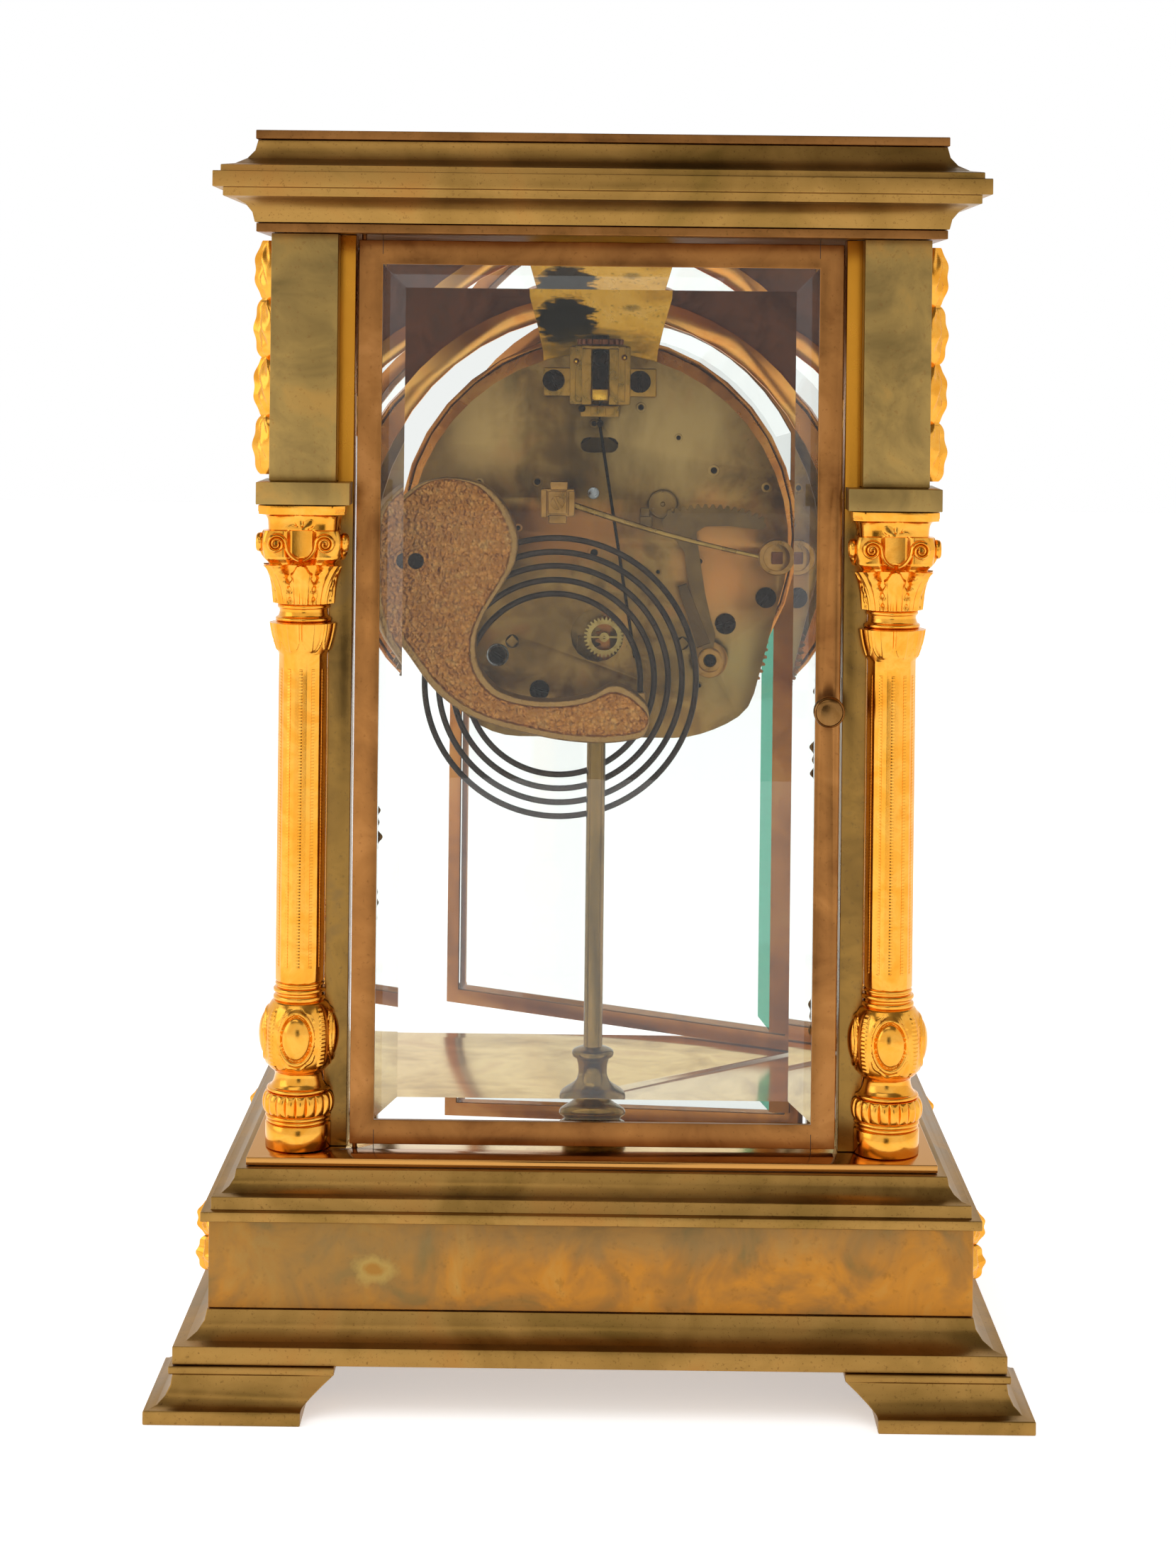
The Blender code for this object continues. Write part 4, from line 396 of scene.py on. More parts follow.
# turned brass: warm brown, half bright
colletBrass = metalFinish("turnedColletBrass", "#7a582a #966c32 #a87c42 #a0723a", cloud=8, pit=0.9, pitShare=0.35,
                          pitTone="#563a1a", grain=0.3, depth=0.1, roughness=(0.26, 0.38))
# drawn rod: a thin light runs along it
rodBrass = metalFinish("drawnRodBrass", "#816331 #99783e #a88546 #907038", cloud=10, pit=0.9, pitTone="#56401e",
                       grain=0.3, stretch=(0.2, 1, 1), roughness=(0.24, 0.36))
# filed brass: golden brown with dark pits
cockBrass = metalFinish("filedCockBrass", "#694e22 #86652b #9c7331 #a87a34", cloud=9, pit=1.0, pitShare=0.5,
                        pitTone="#392811", grain=0.4, stretch=(1, 1, 0.3), depth=0.1, roughness=(0.24, 0.38))
# turned brass: brown, streaked upward, with sharp lights on its beads
standBrass = metalFinish("turnedStandBrass", "#523e1c #705628 #8a6a38 #785a2c", cloud=8, cloudStretch=(1, 1, 0.15),
                         pit=1.0, pitShare=0.4, pitTone="#4a3618", grain=0.5, stretch=(1, 1, 0.1), depth=0.12,
                         roughness=(0.16, 0.26))
# handled brass: red brown, worn smooth
knobBrass = metalFinish("turnedKnobBrass", "#6c4822 #7c572d #886135 #8e693c", cloud=8, pit=0.9, pitShare=0.25,
                        pitTone="#4d3115", grain=0.3, depth=0.06, roughness=(0.16, 0.28))
# tarnished coppery brass: dark orange brown, drawn upward
darkCopper = metalFinish("tarnishedDoorBrass", "#7c4c24 #925c2c #a46a34 #b07a40", cloud=26, pit=1.8, pitTone="#5a3418",
                         grain=0.5, stretch=(1, 1, 0.12), depth=0.1, roughness=(0.28, 0.4))
# spun brass: bright orange with a soft shine
bezelCopper = metalFinish("spunBezelBrass", "#a8662c #c47c38 #d88e44 #e0a050", cloud=20, pit=1.4, pitTone="#623b1b",
                          grain=0.4, roughness=(0.2, 0.32))
# the shade in a fine joint: nearly black, no shine
seamShade = metalFinish("jointShadow", "#1c120a #22160c #281a10 #20140a", cloud=3, pit=0.5, pitShare=0.2,
                        pitTone="#100a06", grain=0.2, depth=0.05, metallic=0.0, roughness=(0.6, 0.7))
# dried putty: brown, crumbly, with no shine
puttyCrust = metalFinish("driedBrownPutty", "#3e2a14 #523a1e #6c5028 #7c6036", cloud=3, pit=0.6, pitShare=0.5,
                         pitTone="#2a1c0c", grain=0.4, depth=0.3, metallic=0.0, roughness=(0.7, 0.9))
# browned brass: reddish and dull, drawn across
redBrass = metalFinish("reddishBrassEdge", "#6e4824 #80562c #8e6032 #96683a", cloud=30, pit=1.2, pitShare=0.4,
                       pitTone="#4a2e16", grain=0.6, stretch=(0.15, 1, 1), depth=0.1, roughness=(0.34, 0.46))
# the strap: the rack's brass, darker
strapBrass = metalFinish("darkStrapBrass", "#4c3820 #5c452a #6a5032 #6c5030", **rackWear)
# the wheel in the window: the rack's brass, kept pale behind the plate
palePlate = metalFinish("palerWheelBrass", "#8a7038 #a88a4c #c0a462 #b89850", **rackWear)


def glassFinish(name, tint):  # clear plate glass that lets lamp light through to what stands behind it
    material, tree, shader = newMaterial(name)
    for socket, value in (("Base Color", linearColour(tint)), ("Roughness", 0.0), ("IOR", 1.5),
                          ("Transmission Weight", 1.0), ("Specular IOR Level", 0.12)):
        shader.inputs[socket].default_value = value
    clear = addNode(tree, "BsdfTransparent", {"Color": linearColour("#eef4f0")})
    shadow = addNode(tree, "LightPath").outputs["Is Shadow Ray"]
    mix = addNode(tree, "MixShader", links={0: shadow, 1: shader.outputs["BSDF"], 2: clear.outputs["BSDF"]})
    tree.links.new(mix.outputs["Shader"], tree.nodes["Material Output"].inputs["Surface"])
    return material


def firedFinish(name, size, stops, roughness, coat=0.0):  # fired glassy colour with the faintest clouding
    material, tree, shader = newMaterial(name)
    tone = addNode(tree, "ValToRGB", links={"Fac": patches(tree, size)}, stops=stops).outputs["Color"]
    tree.links.new(tone, shader.inputs["Base Color"])
    shader.inputs["Roughness"].default_value = roughness
    shader.inputs["Coat Weight"].default_value = coat
    return material


# polished plate: almost no tint, faint reflections
plateGlass = glassFinish("bevelledPlateGlass", "#f3f6f4")
# the same glass seen edgeways: sea green
greenGlass = glassFinish("greenBevelGlass", "#58a48a")
# white enamel: cream and glossy
enamel = firedFinish("firedEnamel", 30, ((0.35, "#efe9da"), (0.65, "#f6f2e6")), 0.18, 0.4)
# the black fired into the dial: soft black, a little duller
dialInk = firedFinish("firedBlackInk", 3, ((0.4, "#141316"), (0.7, "#232025")), 0.3)
print("finishes made")

# case: mouldings, plates, feet, piers and posts keep their CAD form with eased edges; widths in millimetres

caseEdges = dict(lower_moulding=(agedBrass, 0.35), upper_moulding=(agedBrass, 0.35), cornice=(agedBrass, 0.35),
                 frieze_box=(friezeBrass, 0.4), floor_plate=(floorBrass, 0.3), architrave_plate=(redBrass, 0.3),
                 top_plate=(redBrass, 0.3))
cornerEdges = dict(foot=(agedBrass, 0.5), pier=(pierBrass, 0.5), post=(yellowBrass, 0.25))
ends = [(face, end) for face in ("front", "rear") for end in ("left", "right")]
for node, (material, width) in caseEdges.items():
    eased(node, material, width)
for face, end in ends:
    for kind, (material, width) in cornerEdges.items():
        eased(f"{kind}_{face}_{end}", material, width)
print("case shell done")

# columns: one grid of angle by height each, its radius a turned profile plus relief, all in millimetres

column = dict(x=109.4, rear=101.848, front=-63.352, foot=87.1, notchX=9.0, notchY=1.7, steps=240, gadroons=20,
              ovalHigh=42.0, ovalWide=5.2, ovalTall=7.9, shaft=9.2)


def bead(low, high, radius, depth, rows=7):  # a round moulding: an ellipse arc from low to high
    turn = np.linspace(-math.pi / 2, math.pi / 2, rows)
    middle, half = (low + high) / 2, (high - low) / 2
    return np.c_[middle + half * np.sin(turn), radius - depth + depth * np.cos(turn)]


def curve(points, spacing=0.45):  # a smooth curve (Catmull-Rom) through (height, radius) points
    points = np.array(points, float)
    padded = np.vstack([2 * points[0] - points[1], points, 2 * points[-1] - points[-2]])
    parts = []
    for a, b, c, d in zip(padded, padded[1:], padded[2:], padded[3:]):
        t = np.linspace(0, 1, max(2, int(abs(c[0] - b[0]) / spacing) + 1), endpoint=False)[:, None]
        parts.append(0.5 * (2 * b + (c - a) * t + (2 * a - 5 * b + 4 * c - d) * t ** 2
                            + (3 * b - a - 3 * c + d) * t ** 3))
    return np.vstack(parts + [points[-1:]])


columnProfile = np.vstack([
    [(0, 11.9), (0.3, 12.25), (8.9, 12.25), (9.2, 12.0), (9.25, 11.3)],
    bead(9.3, 10.8, 11.9, 0.5, 5), bead(10.9, 12.4, 12.3, 0.5, 5), bead(12.5, 20.6, 13.5, 1.8, 26),
    bead(20.7, 22.4, 11.9, 1.0),
    curve([(22.5, 10.6), (24.2, 9.5), (26.8, 8.9), (28.2, 9.4), (29.4, 10.8), (31.2, 12.1), (33.6, 12.85),
           (38.0, 13.4), (42.3, 13.6), (46.0, 13.35), (49.9, 12.5), (52.2, 11.5), (53.9, 10.4)], 0.32),
    bead(54.4, 56.4, 9.9, 0.7, 6), [(56.6, 8.9), (57.2, 8.9)], bead(57.4, 59.2, 9.9, 0.8),
    [(59.4, 8.6)], bead(59.9, 61.2, 9.2, 0.6, 6), [(61.5, 8.8)],
    np.c_[np.linspace(62, 182.8, 16), np.full(16, column["shaft"])],
    curve([(183.3, 9.3), (185.0, 9.9), (188.5, 11.0), (192.0, 11.8), (194.6, 12.2)], 0.32),
    [(195.0, 11.2)], bead(195.1, 196.9, 10.6, 0.8), curve([(197.2, 9.5), (198.7, 9.1), (199.7, 9.2)], 0.5),
    bead(199.9, 201.6, 9.9, 0.7, 6), curve([(201.9, 9.9), (205.0, 10.3), (210.0, 10.8), (216.4, 11.6)], 0.36),
    curve([(216.8, 12.4), (218.6, 13.4), (220.2, 13.6), (222.0, 13.6), (226.0, 13.6), (229.2, 13.5)], 0.36),
    curve([(229.6, 12.9), (232.0, 13.0), (233.6, 13.3), (234.9, 14.0)]),
    [(235.1, 14.6), (235.3, 16.0), (236.2, 16.1), (236.4, 16.25), (238.5, 16.25), (238.7, 15.9)]])


def step(low, high, value):  # a smooth rise from 0 at low to 1 at high
    t = np.clip((value - low) / (high - low), 0, 1)
    return t * t * (3 - 2 * t)


def arch(value):  # 1 at value 0, falling along a quarter circle to 0 at value 1
    return np.sqrt(np.clip(1 - value ** 2, 0, 1))


def ridge(value, width):  # 1 on the line where value is 0, falling straight to 0 at width
    return np.clip(1 - np.abs(value) / width, 0, 1)


def squareness(angle, power):  # how far a square with rounded corners reaches beyond the circle inside it
    return 1 / (np.abs(np.cos(angle)) ** power + np.abs(np.sin(angle)) ** power) ** (1 / power)


def columnRelief(angle, height, radius):
    # adds the carved work to the profile; every zone works on the arc across its own face or lobe
    quarter = (angle + math.pi / 4) % (math.pi / 2) - math.pi / 4
    arc = quarter * 13.2
    diagonal = 10.37 - np.abs(arc)  # arc from the nearest corner
    relief = np.zeros(np.broadcast(angle, height).shape)

    def carve(low, high, more):  # adds relief between two heights
        relief[...] += np.where((height > low) & (height < high), more, 0)

    # gadroons: bulging lobes round the lowest torus
    lobe = (angle * column["gadroons"] / (2 * math.pi)) % 1 * 2 - 1
    carve(12.5, 20.7, 1.6 * (np.sqrt(1 - 0.97 * lobe ** 2) - 1)
          * np.sin(math.pi * np.clip((height - 12.5) / 8.2, 0, 1)) ** 0.5)
    # bulb: an oval boss in a groove and band on each face, scallops above and below, a beaded strap between faces
    across, up = arc / column["ovalWide"], (height - column["ovalHigh"]) / column["ovalTall"]
    oval, around = np.sqrt(across ** 2 + up ** 2), np.arctan2(up, across)
    boss = 1.5 * arch(oval) - 0.5 * ridge(oval - 1.04, 0.07) + 0.75 * arch((oval - 1.22) / 0.11)
    scallop = 0.35 * ridge(oval - 1.50 - 0.07 * np.cos(9 * around), 0.09) * (np.abs(up) > 0.75)
    strap = 0.6 * (1 - step(0.7, 1.1, np.abs(diagonal) / 1.5)) * (0.75 + 0.25 * np.cos(2 * math.pi * height / 1.5))
    carve(28, 54, (boss + scallop + strap) * step(28.5, 31.5, height) * (1 - step(50.5, 53.5, height)))
    # shaft: twelve flats with rounded arrises
    flat = (angle + math.pi / 12) % (math.pi / 6) - math.pi / 12
    carve(61.8, 183, radius * (math.cos(math.pi / 12) / np.cos(flat) - 1) * 0.9)
    # collar: eight tongues with a raised edge and a swelling middle
    eighth = (angle * 8 / (2 * math.pi)) % 1 * 2 - 1
    climb = np.clip((height - 183.6) / 10.6, 0, 1)
    share = np.abs(eighth) / np.maximum(0.93 * arch(1 - np.clip(climb / 0.55, 0, 1)), 0.05)
    tongue = 0.45 * (1 - share ** 2) * (share < 1) + 0.5 * ridge(share - 0.93, 0.10)
    vein = 0.3 * ridge(eighth, 0.12) * (share < 0.9)
    carve(183.5, 195, (tongue + vein) * step(183.6, 185, height))
    # leaf zone: a ribbed leaf on each face whose tip curls out, and a broader one under each corner
    rise = np.clip((height - 201.9) / 14.6, 0, 1)
    wavy = 1 + 0.10 * np.cos(2 * math.pi * rise * 4)
    faceShare = np.abs(arc) / np.maximum(5.6 * np.sqrt(np.clip(1 - rise ** 3, 0, 1)) * wavy, 0.3)
    faceLeaf = (1.3 + 2.6 * rise ** 3) * np.clip(1 - faceShare ** 2, 0, 1) ** 0.4
    faceLeaf += 0.45 * np.cos(arc * 2.6) * (faceShare < 0.9) * (1 - rise)
    cornerShare = np.abs(diagonal) / (5.2 * (1 - 0.35 * rise) * wavy)
    cornerLeaf = (1.2 + 5.8 * rise ** 2.2) * np.clip(1 - cornerShare ** 2, 0, 1) ** 0.45
    cornerLeaf += 0.4 * ridge(diagonal, 0.5) + 0.25 * np.cos(diagonal * 3.2) * (cornerShare < 0.9)
    carve(201.8, 216.6, np.maximum(faceLeaf, cornerLeaf))
    # volute body: a square block whose faces are hollowed between the scrolls, swelling at the corners
    reach = 14.2 * squareness(angle, 9)
    hollow = 2.2 * (1 - step(4.2, 6.4, np.abs(reach * np.sin(quarter))))
    swell = 1.2 * np.sin(math.pi * np.clip((height - 220.2) / 9.2, 0, 1)) * step(0.55, 0.75, np.abs(quarter))
    carve(216.7, 229.4, reach - hollow + swell - radius - 2.4 * (1 - step(216.7, 219.5, height)))
    # bell under the abacus: square with hollow faces and a small palmette of five petals on each
    petalAngle, petalReach = np.arctan2(height - 229.8, arc), np.hypot(height - 229.8, arc)
    petal = 5.0 * np.abs(np.sin(2.5 * petalAngle)) ** 0.5 + 0.5
    carve(229.4, 235.2, radius * (squareness(angle, 6) - 1) + 0.8 * ridge(petalReach, petal) ** 0.4)
    # abacus: a square plate with clipped corners and slightly hollow sides
    side = radius * squareness(angle, 24)
    clipped = np.minimum(side, (radius * 1.24) / np.maximum(np.cos(np.abs(quarter) - math.pi / 4), 0.5))
    carve(235.2, 999, clipped - radius - 0.4 * np.cos(2 * quarter) ** 2)
    return relief


def columnPlace(face, end):  # the signs that mirror a column outward, and its foot's middle in metres
    side, depth = (1 if end == "left" else -1), (1 if face == "rear" else -1)
    return side, depth, np.array([side * column["x"], column[face], column["foot"]]) * mm


def clearOfPost(across, along):  # pulls points in to the notch line where the corner post stands
    pull = np.where((across < -column["notchX"]) & (along < column["notchY"]), -column["notchX"] / across, 1.0)
    return across * pull, along * pull


def buildColumn(face, end):
    side, depth, place = columnPlace(face, end)
    angle = circleAngles(column["steps"])[None, :]
    height, radius = columnProfile[:, :1], columnProfile[:, 1:]
    reach = radius + columnRelief(angle, height, radius)
    across, along = clearOfPost(reach * np.cos(angle), reach * np.sin(angle))
    points = np.stack([side * across, depth * along, height + 0 * across], -1) * mm + place
    piece(f"column_{face}_{end}_carved", [prism(points)], gilt, "case", f"column_{face}_{end}",
          angle=50, weld=0.000003)


scroll = dict(centre=9.0, high=224.5, radius=3.5, eye=0.7, turns=2.1, depth=15.5, wire=0.85, start=(0.9, 218.4),
              pull=(4.9, 220.0), stemRows=11, rows=76)


def buildScrolls(face, end):
    # spiral ribbons: a stem rising in a V from the middle of each face into a spiral, radius shrinking with angle
    side, depth, place = columnPlace(face, end)
    stemRows, rows = scroll["stemRows"], scroll["rows"]
    turn = np.linspace(math.pi, math.pi - 2 * math.pi * scroll["turns"], rows)
    reach = np.linspace(scroll["radius"], scroll["eye"], rows)
    spiral = np.c_[scroll["centre"] + reach * np.cos(turn), scroll["high"] + reach * np.sin(turn)]
    rise = np.linspace(0, 1, stemRows + 1)[:-1, None]
    stem = ((1 - rise) ** 2 * np.array(scroll["start"]) + 2 * rise * (1 - rise) * np.array(scroll["pull"])
            + rise ** 2 * spiral[0])
    path = np.vstack([stem, spiral])
    wire = np.concatenate([np.linspace(0.7, 1.0, stemRows), np.linspace(1.0, 0.55, rows)]) * scroll["wire"] * mm
    outward = scroll["depth"] + np.concatenate([np.linspace(-1.5, 0, stemRows), np.linspace(0, 0.6, rows)])
    grids = []
    # both hands on the two outer faces, one on each of the others
    for normal, tangent, hands in (((1, 0), (0, 1), (1, -1)), ((0, 1), (1, 0), (1, -1)), ((-1, 0), (0, 1), (1,)),
                                   ((0, -1), (1, 0), (1,))):
        for hand in hands:
            across = outward * normal[0] + hand * path[:, 0] * tangent[0]
            along = outward * normal[1] + hand * path[:, 0] * tangent[1]
            line = np.c_[side * across, depth * along, path[:, 1]] * mm + place
            grids.append(tubeAlong(line, wire, (side * normal[0], depth * normal[1], 0), 8, 1.7))
    piece(f"column_{face}_{end}_scrolls", grids, gilt, "case", None, angle=60)


strips = dict(low=67.0, high=178.0, half=0.75, rise=0.28, pitch=1.15, count=12, sunk=0.3, back=0.6)


def buildStrips(face, end):
    # milled strips on the flats: a narrow band whose height rises and falls along it like a row of small beads
    side, depth, place = columnPlace(face, end)
    along = np.linspace(strips["low"], strips["high"], 4 * int((strips["high"] - strips["low"]) / strips["pitch"]) + 1)
    share = np.array([-1, -0.86, -0.45, 0, 0.45, 0.86, 1])
    flatReach = column["shaft"] * math.cos(math.pi / 12)
    beads = np.abs(np.sin(math.pi * (along - strips["low"]) / strips["pitch"]))[:, None]
    dome = np.sqrt(np.clip(1 - share ** 2 * 0.9, 0, 1))[None, :]
    lift = strips["rise"] * (0.35 + 0.65 * beads * dome) + np.where(np.abs(share) > 0.99, -strips["sunk"], 0.0)
    lift[0] = lift[-1] = -strips["sunk"]
    across, high = strips["half"] * share + 0 * lift, along[:, None] + 0 * lift
    grids = []
    for at in circleAngles(strips["count"]):
        sine, cosine = math.sin(at), math.cos(at)
        front = clearOfPost((flatReach + lift) * cosine - across * sine, (flatReach + lift) * sine + across * cosine)
        inner = flatReach - strips["back"]
        back = inner * cosine - across * sine, inner * sine + across * cosine
        shown, hidden = (np.stack([side * x, depth * y, high], -1) * mm for x, y in (front, back))
        grids.append(slab(shown + place, hidden + place))
    piece(f"column_{face}_{end}_strips", grids, gilt, "case", None, angle=60)


for face, end in ends:
    buildColumn(face, end)
    buildScrolls(face, end)
    buildStrips(face, end)
print("columns done")

# gilt mounts: leafy reliefs with a scalloped outline on the sides of the piers and of the base, in millimetres

mounts = dict(pierHalf=7.4, pierThick=7.4, pierLobes=4, baseLow=40.0, baseHigh=65.8, baseHalf=11, baseFace=138.6,
              baseThick=8.4, baseLobes=2)


def buildMount(name, side, centreY, low, high, halfWide, face, thick, lobes, stands=None):
    # grid of height by width: the outline swells in lobes, the relief is a domed stem with side leaves
    t, s = np.linspace(0, 1, 121)[:, None], np.linspace(-1, 1, 33)[None, :]
    outline = halfWide * (0.30 + 0.70 * np.abs(np.sin(math.pi * lobes * t)) ** 0.8 * np.sin(math.pi * t) ** 0.35)
    outline = outline * np.sin(math.pi * np.clip(t * 0.96 + 0.02, 0, 1)) ** 0.25
    dome = arch(s)
    leaf = 0.17 * np.cos(2 * math.pi * (lobes * 2 * t + 1.3 * np.abs(s))) * np.abs(s) ** 0.5 * dome
    stem = 0.35 * ridge(s, 1 / 6)
    curl = 0.60 + 0.40 * np.abs(np.sin(math.pi * lobes * t)) ** 0.7 + 0.05 * np.sin(5 * math.pi * lobes * t)
    lift = thick * np.clip(0.62 * dome + leaf + stem, 0.02, 1.0) * curl
    front = np.stack([side * (face + lift), centreY + outline * s, low + (high - low) * t + 0 * s], -1) * mm
    back = front.copy()
    back[..., 0] = side * face * mm
    piece(name, [slab(front, back)], gilt, "case", stands, angle=60)


for face, end in ends:
    side, centreY = (1 if end == "left" else -1), column[face]
    low, high = (np.array(corner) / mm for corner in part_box(f"pier_mount_{face}_{end}"))
    inner = min(abs(low[0]), abs(high[0]))
    buildMount(f"pier_mount_{face}_{end}_leafy", side, centreY, low[2], high[2], mounts["pierHalf"], inner,
               mounts["pierThick"], mounts["pierLobes"], f"pier_mount_{face}_{end}")
    buildMount(f"base_mount_{face}_{end}", side, centreY, mounts["baseLow"], mounts["baseHigh"], mounts["baseHalf"],
               mounts["baseFace"], mounts["baseThick"], mounts["baseLobes"])
print("mounts done")

# doors, arch and glass

paint(plateGlass, "front_door_glass", "side_glass_left", "side_glass_right")
doorEdges = dict(rear_door_frame=(copperBrass, 0.35, "rear_door"), front_door_frame=(darkCopper, 0.35, "front_door"),
                 arch_band=(archCopper, 0.3, "case"), spandrel_plate=(darkBronze, 0.25, "case"),
                 bezel=(bezelCopper, 0.2, "case"))
glass = dict(bevel=10.3, rimFrom=100.55, rimTo=101.9, face=105.9)


def buildRearGlass():
    # thick plate whose outer face slopes down to a thin rim on all four sides, meeting in mitred corners
    low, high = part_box("rear_door_glass")
    rings = []
    for inset, depth in ((0, glass["rimFrom"]), (0, glass["rimTo"]), (glass["bevel"], glass["face"])):
        x0, x1, z0, z1 = low.x + inset * mm, high.x - inset * mm, low.z + inset * mm, high.z - inset * mm
        rings.append([(x, depth * mm, z) for x, z in ((x0, z0), (x1, z0), (x1, z1), (x0, z1))])
    piece("rear_glass_bevelled", [prism(rings)], plateGlass, "rear_door", "rear_door_glass",
          angle=5, weld=0)


frontDoor = dict(angle=-30.0, width=5.9, inset=7.4, low=94.5, high=330.0, behind=0.25, thick=0.3, lip=9.4, lipThick=1.1)


def buildGreenEdge():
    # the hinge side bevel of the front glass gathers the green of the glass: a tinted strip with mitred ends, and
    # the thin lip of the stile beside it
    low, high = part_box("front_door_glass")
    turn = math.radians(frontDoor["angle"])
    along, inward = np.array([math.cos(turn), math.sin(turn)]), np.array([-math.sin(turn), math.cos(turn)])
    start = np.array([low.x, high.y]) + inward * frontDoor["behind"] * mm
    inset, width, z0, z1 = (frontDoor[key] for key in ("inset", "width", "low", "high"))
    bands = (("front_glass_green_bevel", greenGlass, inset, inset + width, width, frontDoor["thick"]),
             ("front_door_stile_lip", darkCopper, inset - frontDoor["lip"], inset, 0.0, frontDoor["lipThick"]))
    for name, material, first, last, mitre, thick in bands:
        rings = []
        for lift in (0, thick):
            corners = ((first, z0), (last, z0 + mitre), (last, z1), (first, z1))
            rings.append([(*(start + (along * reach + inward * lift) * mm), z * mm) for reach, z in corners])
        piece(name, [prism(rings)], material, "front_door", angle=5, weld=0)


putty = dict(low=30, high=190, inset=1.9, thick=0.63, widest=2.1, sunk=0.2, steps=260)


def buildPutty():
    # crumbs of old brown putty on the glass beside both stiles: strips whose width is a clipped sum of sines
    low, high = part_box("rear_door_glass")
    z = np.linspace(low.z / mm + putty["low"], low.z / mm + putty["high"], putty["steps"])[:, None]
    taper = np.sin(math.pi * np.linspace(0, 1, putty["steps"]))[:, None] ** 0.3
    across = np.array([0, 0.35, 0.75, 1.0])[None, :]
    edge = high.x / mm
    grids = []
    for side, phase in ((-1, 0.0), (1, 2.6)):
        rough = np.sin(z / 17 + phase) + 0.7 * np.sin(z / 5.1 + 2 * phase) + 0.5 * np.sin(z / 1.7 + phase)
        wide = np.clip(rough + 0.4 * np.sin(z / 0.8) - 1.05, 0, 1.4) * putty["widest"] / 1.4 * taper
        x = side * (edge - putty["inset"] - wide * across)
        lump = putty["thick"] * (wide > 0.05) * np.sin(math.pi * np.clip(across + 0.15, 0, 1))
        slope = (edge - np.abs(x)) / glass["bevel"] * (glass["face"] - glass["rimTo"])
        base = glass["rimTo"] + slope - 0.1
        front, back = (np.stack([x, y, z + 0 * x], -1) * mm for y in (base + lump, base - putty["sunk"]))
        grids.append(slab(front, back))
    piece("rear_glass_old_putty", grids, puttyCrust, "rear_door", weld=0, angle=60)


rearFrame = dict(stile=8.9, seam=0.22, sunk=0.3, proud=0.04, short=0.2, past=0.4)


def buildFrameSeams():
    # the stiles run full height, so each rail meets them in a fine dark joint
    low, high = (np.array(corner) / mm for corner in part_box("rear_door_frame"))
    stile, half, short, past = rearFrame["stile"], rearFrame["seam"] / 2, rearFrame["short"], rearFrame["past"]
    rows = [(x - half, x + half, high[1] - rearFrame["sunk"], high[1] + rearFrame["proud"], start, end, 0.02)
            for x in (stile - high[0], high[0] - stile)
            for start, end in ((low[2] + short, low[2] + stile + past), (high[2] - stile - past, high[2] - short))]
    piece("rear_door_joint_lines", blocks(rows), seamShade, "rear_door")


# radius and height of the neck from the frame's face, and of the button's rounded end from the knob's top
knob = dict(radius=5.7, tongueHalf=2.0, tongueThick=1.2,
            neck=[(0, -7.0), (1.7, -7.0), (1.7, 0.1), (3.3, 0.1), (3.4, 0.5), (2.7, 1.0), (2.5, 2.2), (2.7, 3.4),
                  (3.6, 4.4), (5.2, 5.0), (5.65, 5.5), (5.7, 6.1)],
            end=[(5.7, -1.5), (5.55, -0.9), (5.1, -0.55), (4.9, -0.75), (4.6, -0.45), (3.0, -0.12), (0, 0)])


def buildKnob():
    # a flat button on a short neck, with the latch tongue on the inner end of its shank
    low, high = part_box("rear_door_knob")
    face, x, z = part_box("rear_door_frame")[1].y, (low.x + high.x) / 2, low.z + knob["radius"] * mm
    profile = knob["neck"] + [(radius, (high.y - face) / mm + height) for radius, height in knob["end"]]
    half = knob["tongueHalf"] * mm
    tongue = block((x - half, low.y, z - half), (x + half, low.y + knob["tongueThick"] * mm, high.z))
    piece("rear_knob_button", [lathe(profile, (x, face, z), 64), tongue], knobBrass, "rear_knob",
          "rear_door_knob", angle=40)


for node, (material, width, body) in doorEdges.items():
    eased(node, material, width, body)
buildRearGlass()
buildGreenEdge()
buildPutty()
buildFrameSeams()
buildKnob()
print("doors done")

# dial side, guessed: enamel dial with numerals and track, hands; sizes in millimetres

numerals = dict(words="XII I II III IIII V VI VII VIII IX X XI", ring=58.5, size=15.0, narrow=0.72, extrude=0.05,
                proud=0.10)
track = dict(inner=69.0, outer=71.6, line=0.3, hourHalf=0.42, minuteHalf=0.18, proud=0.10, sunk=0.01)


def textMesh(word):  # the word as a flat mesh with a little thickness, centred on its own middle
    text = bpy.data.curves.new("numeral", "FONT")
    text.body, text.size, text.extrude = word, numerals["size"] * mm, numerals["extrude"] * mm
    text.align_x, text.align_y = "CENTER", "CENTER"
    holder = bpy.data.objects.new("numeral", text)
    bpy.context.scene.collection.objects.link(holder)
    mesh = bpy.data.meshes.new_from_object(holder)
    bpy.data.objects.remove(holder)
    return mesh


